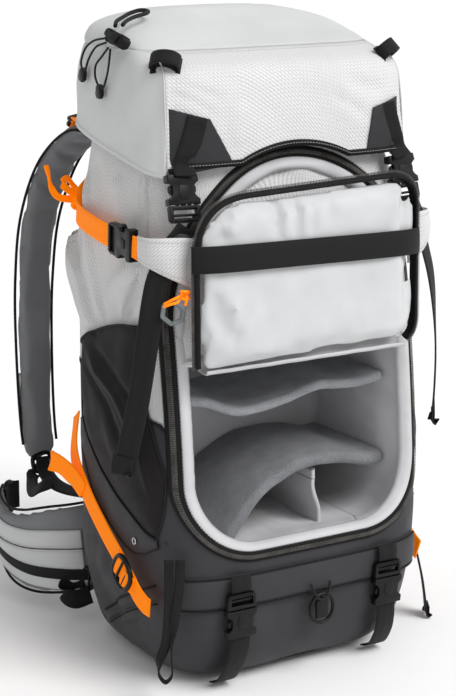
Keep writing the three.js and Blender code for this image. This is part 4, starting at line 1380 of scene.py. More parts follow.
# ---- camera door: simulated pad, zip edge and elastic band ----
def rounded_polygon(corners, step=2.5):
    """Closed outline of x, z corners with a rounding each: (x, z, radius)."""
    n = len(corners)
    line = []
    for k in range(n):
        p = np.array(corners[k][:2], float)
        before, after = np.array(corners[k - 1][:2], float), np.array(corners[(k + 1) % n][:2], float)
        a = p + unit(before - p) * corners[k][2]
        b = p + unit(after - p) * corners[k][2]
        for t in np.linspace(0, 1, 14):
            line.append((1 - t) ** 2 * a + 2 * t * (1 - t) * p + t**2 * b)
    line.append(line[0])
    flat = upright(np.array(line))
    count = int(lengths_along(flat, 0)[-1] / step)
    return even(flat, count + 1)[:-1][:, [0, 2]]


DOOR_SHAPE = [(-144, 5, 14), (-140, 186, 62), (138, 196, 38), (134, 10, 30)]
DOOR_TILT = math.radians(-DOOR["lean"])


def on_door(points):
    """From the door's own frame, x across, y through it and z up from the fold, to the bag's."""
    p = np.asarray(points, float)
    y = p[..., 1] * math.cos(DOOR_TILT) - p[..., 2] * math.sin(DOOR_TILT)
    z = p[..., 1] * math.sin(DOOR_TILT) + p[..., 2] * math.cos(DOOR_TILT)
    return np.stack([p[..., 0], y + DOOR["y"], z + DOOR["z"]], -1)


DOOR_CREASES = [fold([(x, 0, z) for x, z in line], *shape) for line, *shape in (
    ([(-128, 182), (-116, 160), (-110, 138)], -2.4, 4),
    ([(-104, 186), (-98, 164), (-104, 140)], 2.0, 6),
    ([(126, 176), (118, 140), (124, 100), (116, 60)], -2.4, 5),
    ([(106, 168), (102, 130), (110, 84)], 2.0, 8),
    ([(-132, 84), (-118, 56), (-92, 30)], -2.4, 5),
    ([(-112, 92), (-100, 62), (-76, 36)], 2.0, 7),
    ([(-46, 192), (-48, 160), (-50, 134)], -3.0, 4.5),
    ([(-35, 190), (-36, 160), (-38, 138)], 2.6, 4.5),
    ([(-24, 190), (-25, 160), (-27, 134)], -3.0, 4.0),
    ([(-13, 190), (-13, 160), (-14, 140)], 2.4, 4.5),
    ([(-3, 190), (-4, 165), (-6, 136)], -2.2, 4.0),
    ([(20, 190), (18, 172), (16, 150)], -1.4, 6),
    ([(128, 186), (118, 160), (110, 138)], -2.6, 5),
    ([(118, 190), (106, 164), (98, 142)], 1.8, 6),
    ([(-128, 172), (-112, 160), (-96, 156)], 1.8, 6),
    ([(-134, 142), (-120, 146), (-104, 150)], -1.8, 5),
    ([(-132, 96), (-118, 74), (-108, 52)], -2.2, 5),
    ([(-120, 98), (-108, 82), (-98, 66)], 1.6, 5),
    ([(-60, 98), (-64, 80), (-66, 62)], -1.5, 5),
    ([(-40, 98), (-44, 78), (-46, 64)], 1.4, 5),
    ([(130, 96), (122, 74), (116, 48)], -2.6, 5),
    ([(124, 60), (112, 40), (96, 28)], -1.6, 6),
    ([(-60, 30), (0, 24), (70, 32)], -1.4, 10),
    ([(-132, 119), (0, 120), (132, 122)], -1.8, 15, 0.05),
)]


def box_weave(piece):
    """Cloth coordinates for a remeshed pad: the two directions that lie most in the surface, in mm."""
    co = vectors(piece.data.vertices, "co") / MM
    main = np.abs(vectors(piece.data.vertices, "normal")).argmax(1)
    pick = np.array([[1, 2], [0, 2], [0, 1]])[main]
    set_weave(piece.data, np.take_along_axis(co, pick, 1))


CLOTH_FRAMES = 20


def simulate(piece, voxel, pressure, cap):
    scene = bpy.context.scene
    view = bpy.context.view_layer
    for other in view.objects.selected:
        other.select_set(False)
    view.objects.active = piece
    piece.select_set(True)
    remesh = piece.modifiers.new("remesh", "REMESH")
    remesh.mode = "VOXEL"
    remesh.voxel_size = voxel * MM
    remesh.use_smooth_shade = True
    bpy.ops.object.modifier_move_to_index(modifier="remesh", index=0)
    bpy.ops.object.modifier_apply(modifier="remesh")
    start = vectors(piece.data.vertices, "co")
    cloth = piece.modifiers.new("cloth", "CLOTH")
    cloth.settings.quality = 6
    cloth.settings.mass = 0.3
    cloth.settings.tension_stiffness = cloth.settings.compression_stiffness = 12
    cloth.settings.shear_stiffness = 6
    cloth.settings.bending_stiffness = 0.4
    cloth.settings.use_pressure = True
    cloth.settings.uniform_pressure_force = pressure
    cloth.settings.effector_weights.gravity = 0
    cloth.point_cache.frame_end = CLOTH_FRAMES
    for step in range(1, CLOTH_FRAMES + 1):
        scene.frame_set(step)
    result = piece.evaluated_get(bpy.context.evaluated_depsgraph_get())
    move = vectors(result.data.vertices, "co") - start
    piece.modifiers.remove(cloth)
    scene.frame_set(1)
    far = np.linalg.norm(move, axis=1, keepdims=True)
    move *= np.minimum(1, cap * MM / np.maximum(far, 1e-9))
    piece.data.vertices.foreach_set("co", (start + move).ravel())
    shade_smooth(piece.data)
    box_weave(piece)
    subdivide(piece, 1)


def door():
    flat = rounded_polygon(DOOR_SHAPE)
    middle = vec(-2, 98)
    shares = (0, 0.012, 0.03, 0.06, 0.1, 0.15, 0.21, 0.28, 0.36, 0.45, 0.55, 0.65, 0.75, 0.85, 0.93, 0.995)
    front, back = [], []
    for s in shares:
        line = flat + (middle - flat) * s
        crown = 9.0 * (1 - (1 - min(s * 3.0, 1)) ** 2.2)
        level = upright(line)
        heights = crease_heights(level, DOOR_CREASES, np.broadcast_to(vec(0, -1, 0), level.shape))
        heights = heights * 1.9 + ripple(level, 46, 2.2, 21) + ripple(level, 17, 0.8, 22)
        calm = smoothstep(s * 16)
        front.append(upright(line, -crown - heights * calm))
        back.append(upright(line, crown * 0.75))
    rows = on_door(np.array(back[::-1] + front[1:]))
    pad = grid("door_pad", rows, "lining", "door", "lining", closed=True, weave=rows[..., [0, 2]],
               replaces=["door_panel"])
    simulate(pad, 4.5, 2.0, 3.0)
    # Zip edge: tape and teeth round the pad from fold to fold.
    line = np.roll(flat, -int(np.argmin(flat @ vec(1, 1))), 0)
    t = tangents(upright(line), closed=True)
    side = np.cross(t, vec(0, 1, 0))[:, [0, 2]]
    side *= np.sign((side * (line - middle)).sum(-1, keepdims=True))
    section = [(-2.0, -4.2), (-1.6, -5.0), (0.0, -4.5), (1.5, -2.9), (2.4, 0), (1.4, 3.0), (-3, 5.2)]
    keep = line[:, 1] > 13
    start = int(np.argmax(keep & ~np.roll(keep, 1)))
    line, side = (np.roll(v, -start, 0)[: keep.sum()] for v in (line, side))
    rows = np.stack([on_door(upright(line + side * a, b)) for a, b in section], 1)
    grid("door_zip_tape", rows, "tape", "door", "zip", thick=0.8)
    turns, steps_each = 330, 7
    steps = turns * steps_each
    fine = even(on_door(upright(line + side * 3.8, -0.8)), steps)
    normal = np.broadcast_to(on_door(vec(0, -1, 0)) - on_door(vec(0, 0, 0)), fine.shape)
    sides = np.cross(tangents(fine), normal)
    angle = np.arange(steps) * TURN / steps_each
    coil = fine + sides * (1.9 * np.cos(angle))[:, None] + normal * (0.9 * np.sin(angle))[:, None]
    joined("door_zip_teeth", [tube_part(coil, 0.5, 5)], "coil", "door", "zip")
    # Elastic band across the pad.
    x = np.linspace(-147, 140, 90)
    share = (x + 147) / 287
    bow = 13.2 * np.clip(1 - np.abs(2 * share - 1) ** 9, 0, 1) + 1.5
    centre = 127.5 - 6.5 * share
    section = ((-13, -0.6), (-12.8, 0.5), (-6.5, 0.9), (0, 1.0), (6.5, 0.9), (12.8, 0.5), (13, -0.6))
    rows = []
    for dz, lift in section:
        wave = ripple(np.stack([x, x * 0, centre + dz], 1), 40, 0.5, 5)
        rows.append(on_door(np.stack([x, -bow - lift + wave, centre + dz], 1)))
    weave = np.stack(np.broadcast_arrays([dz for dz, _ in section], x[:, None]), -1)
    grid("door_elastic", np.stack(rows, 1), "elastic", "door", "black_webbing", weave=weave, thick=1.2,
         replaces=["door_band"])


door()


# ---- seams on the base's sides ----
def on_base(phi, z, out):
    base = body_skin(phi, z)
    return body_skin(phi, z, body_height(base, LOWER_CREASES, 0.8) + out)


def base_seams():
    phi = np.radians(np.linspace(160, 212, 110))
    for k, (low, high, radius) in enumerate(((46, 123, 1.5), (28, 101, 1.1))):
        z = np.linspace(low, high, 110) + 2.0 * np.sin(np.linspace(0, 5, 110))
        for name, mirror in SIDES:
            piping(f"base_side_seam_{k}_{name}", on_base(phi, z, 0.5), "pack", radius, mirror=mirror)
            if k:
                stitches(f"base_side_stitches_{name}", [on_base(phi, z + 4, 0.4)], "pack", "thread_dark",
                         "coated_fabric", 3.6, 2.4, 0.45, mirror=mirror)


base_seams()


# ---- side pockets ----
def coons(bottom, top, back, front, rows, cols):
    """Patch between four curves of y, z corners: bottom and top run forwards, back and front upwards."""
    def curve(line, count):
        flat = [(0, y, z) for y, z in line]
        return smooth_path(flat, count) if len(flat) > 2 else even(flat, count)

    b, t = curve(bottom, cols), curve(top, cols)
    k, f = curve(back, rows), curve(front, rows)
    u, v = np.linspace(0, 1, cols)[None, :, None], np.linspace(0, 1, rows)[:, None, None]
    sides = (1 - u) * k[:, None] + u * f[:, None]
    ends = (1 - v) * b[None] + v * t[None]
    corners = (1 - v) * ((1 - u) * b[0] + u * b[-1]) + v * ((1 - u) * t[0] + u * t[-1])
    patch = sides + ends - corners
    return patch[..., 1], patch[..., 2], u[..., 0], v[..., 0]


POCKET_LOW = [(66, 272), (30, 238), (-10, 212), (-52, 191), (-84, 178), (-101, 175)]
POCKET_TOP = [(58, 358), (20, 380), (-30, 398), (-86, 406)]
POCKET_BACK = [(66, 272), (66, 310), (58, 358)]
POCKET_FRONT = [(-101, 175), (-109, 202), (-110, 246), (-97, 280), (-84, 320), (-80, 370), (-86, 406)]
STRIP_LOW = [(80, 264), (56, 222), (30, 188), (-6, 164), (-42, 148), (-74, 151), (-103, 166)]
POCKET_CREASES = snapped([
    fold([(-186, 52, 350), (-188, 12, 322), (-188, -30, 290), (-188, -60, 250)], -3.4, 6),
    fold([(-186, 44, 364), (-188, 4, 340), (-188, -44, 312), (-187, -80, 262)], 4.4, 5.5),
    fold([(-186, 28, 368), (-188, -12, 350), (-188, -56, 326), (-187, -88, 290)], -3.6, 5),
    fold([(-188, -64, 300), (-188, -84, 256), (-186, -98, 212)], 3.2, 5.5),
    fold([(-188, 0, 300), (-188, -30, 262), (-188, -60, 230)], 2.6, 12),
    fold([(-186, -94, 396), (-187, -98, 330), (-186, -104, 270)], -2.4, 5),
    fold([(-186, -72, 396), (-187, -80, 330), (-186, -92, 240)], 1.6, 8),
], 8.0)


def fabric_height(points):
    return body_height(points, UPPER_CREASES + LOWER_CREASES, 0.85)


def laid_on_side(y, z, out):
    """Points of the left side, on top of the shell's own folds."""
    base = side_point(y, z, 0.0)
    return side_point(y, z, fabric_height(base) + out)


def side_pockets():
    y, z, u, v = coons(POCKET_LOW, POCKET_TOP, POCKET_BACK, POCKET_FRONT, 80, 84)
    swell = np.tanh(u * 10) * np.tanh((1 - u) * 9) * np.tanh(v * 7)
    swell = swell * (1 - 0.35 * smoothstep((v - 0.62) / 0.38))
    base = side_point(y, z, 8.0)
    folds = crease_heights(base, POCKET_CREASES, spokes(base)) + ripple(base, 40, 2.0, 31)
    folds = folds * np.tanh(v * 12) * np.tanh(u * 12) * np.tanh((1 - u) * 12)
    pocket = laid_on_side(y, z, 0.8 + 9.5 * swell + folds)
    ys, zs, us, vs = coons(STRIP_LOW, POCKET_LOW, [STRIP_LOW[0], POCKET_LOW[0]],
                           [STRIP_LOW[-1], POCKET_LOW[-1]], 14, 84)
    strip = laid_on_side(ys, zs, 0.6 + 2.6 * np.sin(math.pi * np.clip(vs * 0.75 + 0.12, 0, 1)) + 0 * us)
    top = pocket[-1] + spokes(pocket[-1]) * 0.4
    low = strip[-1] + spokes(strip[-1]) * 0.9
    edge = strip[0][::-1]
    front = pocket[:, -1] + spokes(pocket[:, -1]) * 0.5
    turn = np.linspace(0, TURN, 24, endpoint=False)
    eyelet = laid_on_side(np.array([-62.0]), np.array([163.0]), 4.2)[0]
    ring = eyelet + np.stack([0 * turn, 3.4 * np.cos(turn), 3.4 * np.sin(turn)], 1)
    for side, mirror in SIDES:
        grid(f"side_pocket_cloth_{side}", pocket, "stretch", "pack", "stretch_fabric", thick=1.4,
             mirror=mirror, replaces=[f"side_pocket_{side}"])
        grid(f"pocket_strip_{side}", strip, "coated", "pack", "coated_fabric", thick=1.0, mirror=mirror)
        piping(f"pocket_hem_{side}", top, "pack", 1.5, "elastic", "stretch_fabric", mirror=mirror)
        piping(f"pocket_piping_{side}", low, "pack", 1.2, "thread_dark", "coated_fabric", mirror=mirror)
        piping(f"pocket_edge_{side}", edge, "pack", 1.0, "thread_dark", "coated_fabric", mirror=mirror)
        piping(f"pocket_front_{side}", front, "pack", 1.1, "thread_dark", "stretch_fabric", mirror=mirror)
        joined(f"pocket_eyelet_{side}", [tube_part(ring, 1.0, 8, closed=True)], "metal", "pack",
               "coated_fabric", mirror=mirror)


side_pockets()


# ---- side straps, tabs and lower straps ----
def straps():
    side = [(-177, -20.5, 493), (-176.5, 10, 496), around(162, 504, 9), around(146, 514, 6.5),
            around(131, 524, 5)]
    stub = [(-178, -73.5, 491), (-177.5, -80, 490), (-177.5, -84.5, 489)]
    tail = [around(146, 513, 9), (-177, 104, 518), (-181, 112, 528), (-183, 114, 542), (-184, 118, 552)]
    loop = [around(148, 518, 9), (-170, 106, 531), (-160, 114, 536), (-152, 116, 527), around(138, 517, 7)]
    turn = np.linspace(0, 2.2 * TURN, 60)
    turns = np.stack([3.2 * np.cos(turn), 4.5 * np.sin(turn), 11 * np.cos(turn * 0.46)], 1)
    knot = around(147, 514, 9.5) + turns
    for name, mirror in SIDES:
        long = strap(f"side_webbing_{name}", side, lambda t: vec(0, 0, 1), WEB, WEB_THICK, None, "orange",
                     "orange_webbing", curl=0.6, mirror=mirror, replaces=[f"side_strap_{name}"])
        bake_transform(long)
        strap(f"side_stub_{name}", stub, lambda t: vec(0, 0, 1), WEB - 1, 2.4, "pack", "orange",
              "orange_webbing", count=12, mirror=mirror)
        for part, line in (("tail", tail), ("loop", loop)):
            strap(f"side_{part}_{name}", line, lambda t: vec(0.3, 0.6, 1), lambda s: 9 - 3 * s, 2.2, "pack",
                  "orange", "orange_webbing", count=24, curl=0.8, mirror=mirror)
        joined(f"side_knot_{name}", [tube_part(knot, 2.6, 8)], "orange", "pack", "orange_webbing",
               mirror=mirror)


straps()


def triangle_tabs():
    """Light cloth tabs that hold the side straps' ends and the lid's buckle tails."""
    s = np.linspace(0, 1, 40)[None]
    v = np.linspace(0, 1, 18)[:, None]
    top = np.array([(-178.5, -84, 504), (-172, -106, 505), (-157, -119, 506), (-140, -125, 505),
                    (-131, -127, 503)], float)
    low = np.array([(-178.5, -84, 478), (-174, -104, 474), (-162, -118, 466), (-146, -126, 457),
                    (-136, -129.5, 450)], float)
    a, b = smooth_path(top, 40), smooth_path(low, 40)
    points = a[None] * (1 - v[..., None]) + b[None] * v[..., None]
    bow = 3.2 * np.sin(math.pi * v) * np.sin(math.pi * s) + 6.0 * np.sin(math.pi * s) ** 0.7
    points = points + spokes(points) * bow[..., None]
    points = points + spokes(points) * ripple(points, 16, 1.0, 3)[..., None]
    for name, mirror in SIDES:
        grid(f"side_tab_cloth_{name}", points, "ripstop", "pack", "ripstop", thick=1.6, mirror=mirror,
             flip=True, replaces=[f"side_tab_{name}"])
        lines = [points[2] + spokes(points[2]) * 0.6, points[-3] + spokes(points[-3]) * 0.6]
        stitches(f"side_tab_stitches_{name}", lines, "pack", "thread_light", "ripstop", 3.2, 2.1, 0.28,
                 mirror=mirror)


triangle_tabs()


def oval(half_x, half_y, power=2.6, count=40):
    turn = np.linspace(0, TURN, count, endpoint=False)
    c, s = np.cos(turn), np.sin(turn)
    x = half_x * np.sign(c) * np.abs(c) ** (2 / power)
    y = half_y * np.sign(s) * np.abs(s) ** (2 / power)
    return np.stack([x, y, 0 * x], 1)


def ladder_parts(half_x=20, half_y=19, bars=(-8, 5)):
    """Flat strap adjuster: rounded frame with cross bars. x runs along the strap."""
    rim = oval(half_x - 2, half_y - 2)
    parts = [tube_part(rim, 2.9, 8, closed=True)]
    for x in bars:
        reach = (half_y - 2) * (1 - abs(x / half_x) ** 2.6) ** 0.4
        line = np.array([(x, -reach, 0.4), (x, 0, 0.9), (x, reach, 0.4)])
        parts.append(tube_part(even(line, 8), 1.7, 8))
    return parts


def lower_straps():
    across = lambda t: vec(0, -0.6, 0.8)
    seat = place((-186.2, -55, 126), (0, 0.8, 0.6), (-1, 0.02, 0.03))
    top = [(-181.2, -72, 114.5), (-181.6, -40, 137), (-181.5, 0, 162), (-181, 40, 192), (-173, 84, 224),
           (-157, 108, 262)]
    weave_path = [(-182.6, -36, 139), (-187.6, -47, 131.6), (-184.4, -53.5, 127), (-187.6, -60, 122.4),
                  (-182.6, -72, 115)]
    end = [(-181.6, -70, 116), (-181.8, -84, 107.5), (-180.6, -97, 101.5), (-178.8, -104, 99.5)]
    flap = [(-182.5, 44, 192), (-186, 64, 205), (-190, 86, 212), (-192.5, 104, 212), (-191, 107, 211.5),
            (-188.5, 104, 211), (-186.5, 88, 209), (-183.5, 70, 202)]
    for name, mirror in SIDES:
        hardware(f"oval_lock_{name}", ladder_parts(), seat, "pack", [f"ladder_lock_{name}"], mirror, bevel=0)
        strap(f"lower_webbing_{name}", top, across, WEB, WEB_THICK, "pack", "orange", "orange_webbing",
              curl=0.5, mirror=mirror, replaces=[f"lower_strap_{name}"])
        strap(f"lower_weave_{name}", weave_path, across, WEB - 1, WEB_THICK, "pack", "orange",
              "orange_webbing", count=40, mirror=mirror)
        strap(f"lower_end_{name}", end, across, WEB, WEB_THICK, "pack", "orange", "orange_webbing",
              count=24, mirror=mirror)
        strap(f"lower_flap_{name}", flap, lambda t: vec(0, -0.28, 1), WEB - 1, 2.2, "pack", "orange",
              "orange_webbing", count=60, curl=0.5, mirror=mirror)
        seam = [(-188.6, 70, 197), (-189.8, 68, 206), (-190.2, 66, 215)]
        stitches(f"lower_flap_stitches_{name}", [seam], "pack", "orange", "orange_webbing", 3.0, 2.2, 0.5,
                 mirror=mirror)


lower_straps()


# ---- lower front: rain pocket flap, bottom straps and its cord pull ----
def rain_flap():
    x = np.linspace(-150, 150, 150)
    rows = []
    section = ((136, 0.2), (134.5, 2.2), (130, 3.6), (118, 4.2), (108, 4.6), (101, 4.2), (98.4, 3.2),
               (98, 0.8))
    for h, o in section:
        z = np.full(150, float(h))
        soft = ripple(front_point(x, z), 34, 1.1, 15) * (1 if h < 133 else 0)
        rows.append(front_point(x, z, o + soft))
    rows = np.array(rows)
    grid("rain_flap", rows, "coated", "pack", "coated_fabric", thick=1.2, flip=True,
         replaces=["rain_pocket_flap"])
    # Dark piping along the flap's top edge and hem: partly the real seam edge, partly a painted shadow line
    # where the fabric overlaps.
    for part, row in (("edge", 1), ("hem", -2)):
        piping(f"rain_flap_{part}", rows[row] + spokes(rows[row]) * 0.4, "pack", 1.3)
    for k, (row, out) in enumerate(((5, 0.5), (1, 0.6))):
        stitches(f"rain_flap_stitches_{k}", [rows[row] + spokes(rows[row]) * out], "pack", "thread_dark",
                 "coated_fabric", 3.6, 2.4, 0.36)
    seat = place((8, -158.0, 80), (1, 0, 0), (0, -1, 0))
    puller = [tube_part(oval(15.0, 17.0, 2.0), 2.3, 8, closed=True), slab(-7.5, 7.5, -11, 10, -2.2, 1.6),
              slab(-1.8, 1.8, 10, 17, -2, 1.2)]
    hardware("flap_puller", puller, seat, "pack", bevel=0.8)
    cord = [(-6, -157.2, 110), (-2, -158.8, 100), (2, -159.8, 93), (8, -160.2, 91), (14, -159.8, 95),
            (19, -158, 110)]
    tube("flap_cord", smooth_path(cord, 40), 1.6, "cord", "pack", "black_plastic", sides=8)


rain_flap()


def bottom_straps():
    path = [(-96, -156, 68.2), (-97, -154.5, 50), (-99, -147, 30), (-101, -131, 9.5), (-101, -118, 4.6)]
    lead = [(-96, -158.5, 120), (-96, -158.8, 127), (-96, -158, 133), (-96, -156, 138)]
    for name, mirror in SIDES:
        body = f"bottom_plug_{name}"
        strap(f"bottom_webbing_{name}", path, lambda t: vec(1, 0, 0), WEB, WEB_THICK, "pack", mirror=mirror,
                     curl=0.4, replaces=[f"bottom_strap_{name}"])
        strap(f"bottom_keeper_{name}", lead, lambda t: vec(1, 0, 0), WEB, WEB_THICK, body, count=10,
              mirror=mirror)
        stitches(f"bottom_stitches_{name}", [[(-107, -158, 136), (-86, -158.2, 136)]], body, "thread_dark",
                 "black_webbing", 2.8, 2, 0.4, mirror=mirror)


bottom_straps()


# ---- lid tails: webbing that hangs below the lid's buckles ----
def lid_tails():
    path = [(-141, -120.5, 515), (-148, -119.5, 505), (-157, -117, 492), (-165, -115.5, 475),
            (-172, -114, 457), (-178, -115, 434), (-183.5, -115, 402), (-192, -110, 338), (-199, -100, 285),
            (-201.5, -94, 256)]
    straight, slanted, hanging = vec(1, 0.12, 0), vec(0.8, -0.6, 0), vec(0.6, -0.8, 0)

    def across(t):
        first, second = smoothstep(t / 0.2), smoothstep((t - 0.25) / 0.4)
        return (straight * (1 - first) + slanted * first) * (1 - second) + hanging * second

    for name, mirror in SIDES:
        strap(f"lid_tail_webbing_{name}", path, across, WEB, WEB_THICK, "pack", count=130, curl=0.5,
              mirror=mirror, replaces=[f"lid_tail_{name}"])
        fold_end = [(-201.6, -93.3, 264), (-202.6, -93.6, 254), (-204.6, -93.4, 252), (-205, -93.8, 260),
                    (-203.6, -95, 272)]
        strap(f"lid_tail_end_{name}", fold_end, lambda t: vec(0.6, -0.8, 0), WEB, WEB_THICK, "pack",
              count=24, mirror=mirror)
        seat = place((-141.5, -120, 505), (-0.3, -0.3, -1), (-0.25, -1, 0.1))
        cleat = [slab(-2, 7, -13, 13, 1.4, 4.2), slab(3, 5, -13, 13, -3, 3)]
        hardware(f"lid_cleat_{name}", cleat, seat, "pack", mirror=mirror, bevel=1.0)


lid_tails()


# ---- gear loop and the tail on the right ----
def gear_loop():
    x_axis, y_axis, z_axis = unit(vec(0.85, -0.5, 0)), unit(vec(0.05, 0.08, 1)), unit(vec(-0.5, -0.85, 0.07))
    seat = lambda a, b, c: vec(-165, -141, 152) + x_axis * a + y_axis * b + z_axis * c
    flat = [(-9, 12, 2), (-9, -20, 3.4), (-10, -52, 4.2), (-13, -80, 4.6), (-20, -100, 4),
            (-19.5, -114, 3.6), (-13, -121.5, 3.2), (-6.5, -115, 3.4), (-6, -100, 4.4), (-7, -80, 6.2),
            (-3, -52, 5.4), (1.6, -20, 3.6), (3, 12, 2)]

    def across(t):
        turned = smoothstep((t - 0.36) / 0.1) * (1 - smoothstep((t - 0.6) / 0.2))
        return x_axis * (1 - turned) + z_axis * turned

    strap("gear_webbing", [seat(*p) for p in flat], across, 10.5, 1.8, "pack", count=150,
          replaces=["gear_loop"])
    stitches("gear_loop_stitches",
             [[seat(-14, -8, 4.8), seat(7, -8, 4.8)], [seat(-14, 6, 3.8), seat(8, 6, 3.8)]], "pack",
             "thread_dark", "black_webbing", 2.8, 2.0, 0.4)
    tail = [(184, -62, 106), (198, -68, 92), (207, -72, 60), (212, -74, 30), (214.5, -75, 6)]
    strap("right_tail", tail, lambda t: vec(0.6, 1, 0), WEB, WEB_THICK, "pack", count=50, curl=0.8,
          replaces=["hanging_tail"])
    hem = [(214.0, -75, 12), (215, -75.2, 4.6), (217, -75.4, 3.6), (217.6, -75.4, 14)]
    strap("right_tail_hem", hem, lambda t: vec(0.6, 1, 0), WEB, WEB_THICK, "pack", count=16)


gear_loop()


# ---- webbing loops on the lid's corners ----
def lid_loops():
    middle = around_lid(226, 677, 2.5)
    out, level = unit(vec(-0.5, -0.55, 0.67)), unit(vec(0.74, -0.67, 0))
    up = np.cross(level, out)
    bend = ((-14, -1.5), (-15, 6), (-9, 13), (0, 15), (9, 13), (15, 6), (14, -1.5))
    ring = [middle + level * a + out * b for a, b in bend]
    for name, mirror in SIDES:
        strap(f"corner_loop_{name}", ring, lambda t: up, 16, 2.2, "lid", count=50, mirror=mirror,
              replaces=[f"lid_loop_{name}"])
        base = [middle + level * a + out * b for a, b in ((-16, -2.6), (0, -1.2), (16, -2.6))]
        strap(f"corner_patch_{name}", base, lambda t: up, 20, 1.6, "lid", count=16, mirror=mirror)


lid_loops()


# ---- cord lock, elastic loop and pull cords on the lid ----
def lid_cords():
    seat = place((-157, -7, 698), (0.1, -1, -0.2), (-0.85, -0.1, 0.5))
    barrel = [(x, y) for x, y, _ in oval(16, 6.8, 3.2, 28)]
    parts = [prism(barrel, -5.5, 5.5), prism([(x * 0.5 - 1, y * 0.7) for x, y in barrel], 5.2, 8.0)]
    parts += [slab(x, x + 1.3, -6.9, 6.9, -4.2, 6.1) for x in (-12, -8.5, 8, 11.5)]
    hardware("lid_cord_lock", parts, seat, "lid", ["cord_lock"], bevel=1.4)
    second = place((-153, 13, 702), (0.1, -1, -0.2), (-0.85, -0.1, 0.5))
    small = [(x, y) for x, y, _ in oval(9, 5, 3.0, 24)]
    guide = [prism(small, -4.5, 4.5), prism([(x * 0.6, y * 0.6) for x, y in small], 4.2, 5.6)]
    hardware("lid_cord_guide", guide, second, "lid", bevel=1.2)
    bungee = [(-152, 8, 711.5), (-146, 17, 715), (-132, 30, 718), (-114, 42, 722), (-102, 44, 724),
              (-97, 38, 723.5), (-100, 31, 722.5), (-106, 26, 721.5), (-124, 18, 719), (-140, 6, 716),
              (-149, -3, 713)]
    rear = [(-160, 14, 694), (-163, 32, 688), (-165, 46, 674), (-165, 57, 659), (-165, 64, 668),
            (-164, 56, 684), (-163, 38, 694), (-160, 16, 698.5)]
    front = [(-164, -3, 689), (-165, -2, 676), (-166, 2, 660), (-166, 14, 645), (-166, 28, 655),
             (-166, 28, 668), (-165, 14, 680), (-164, 2, 689.5)]
    made = []
    for name, line, diameter, node in (("elastic_cord", bungee, 4.5, "bungee_loop"),
                                       ("pull_cord_a", rear, 2.4, "pull_cord_rear"),
                                       ("pull_cord_b", front, 2.4, "pull_cord_front")):
        path = smooth_path(line, 90)
        piece = tube(name, path, diameter / 2, "cord", "lid", "black_plastic", sides=10, replaces=[node])
        made.append((piece, path, diameter))
    for k, (tip, way) in enumerate((((-165, 60, 658), (0, 0.35, -1)), ((-166, 19, 644), (0, 0.1, -1)))):
        seat = place(tip, way, (-1, 0, 0))
        hexagon = [(9.5, 3.2), (5.5, 6.0), (-3, 5.0), (-6, 2.2), (-6, -2.2), (-3, -5.0), (5.5, -6.0),
                   (9.5, -3.2)]
        hardware(f"pull_tip_{k}", [prism(hexagon, -2.6, 2.6)], seat, "lid", bevel=0.9)
    for piece, path, diameter in made:
        length = lengths_along(path, 0)[-1] * MM


lid_cords()


# ---- pads that the cloth simulation swells, and panels laid on them ----
PAD_SIDES = 30


def pad_rows(points, across, width, thick, count, reach=0.05):
    """Rows of a soft strap's rounded section, drawn in at both ends."""
    path, shares, side, normal = banded(points, across, count)
    turn = np.linspace(0, TURN, PAD_SIDES, endpoint=False)
    c, s = np.cos(turn), np.sin(turn)
    a = np.sign(c) * np.abs(c) ** 0.5
    b = np.sign(s) * np.abs(s) ** 0.8
    near = np.clip(np.minimum(shares, 1 - shares) / reach, 0, 1)
    shrink = 0.25 + 0.75 * np.sqrt(1 - (1 - near) ** 2)
    w = np.array([width(q) for q in shares]) * (0.5 + 0.5 * shrink)
    h = np.array([thick(q) for q in shares]) * shrink
    section = np.stack([a[None] * w[:, None] / 2, b[None] * h[:, None] / 2], -1)
    return swept(path, side, normal, section), path, side, normal


def twin(piece, name, body, slot, replaces):
    """The mirror image of a finished left piece, for the right side."""
    source = piece.data
    mesh = bpy.data.meshes.new(name)
    co = vectors(source.vertices, "co") * [-1, 1, 1]
    mesh.from_pydata(co.tolist(), [], [tuple(f.vertices)[::-1] for f in source.polygons])
    mesh.materials.append(source.materials[0])
    set_weave(mesh, vectors(source.attributes["weave"].data, "vector")[:, :2])
    shade_smooth(mesh)
    made = linked(name, mesh)
    if piece.modifiers.get("finer"):
        subdivide(made, 1)
    return enter(made, body, slot, replaces)


def drape(points, piece, inward, gap):
    """Points moved along their inward directions onto a pad, to stand a gap over it."""
    tree = BVHTree.FromObject(piece, bpy.context.evaluated_depsgraph_get())
    flat = np.asarray(points, float).reshape(-1, 3)
    ways = np.broadcast_to(np.asarray(inward, float), points.shape).reshape(-1, 3)
    laid = flat.copy()
    for k, (p, d) in enumerate(zip(flat, ways)):
        hit = tree.ray_cast(Vector((p - d * 45) * MM), Vector(d), 0.09)
        if hit[0] is not None:
            laid[k] = np.array(hit[0]) / MM - d * gap
    return laid.reshape(points.shape)


# ---- shoulder straps ----
STRAP_LINE = [(-76, 131, 548), (-80, 150, 574), (-91, 190, 578), (-108, 236, 540), (-124, 262, 470),
              (-132, 268, 390), (-137, 262, 300), (-140, 250, 210), (-140, 240, 170)]


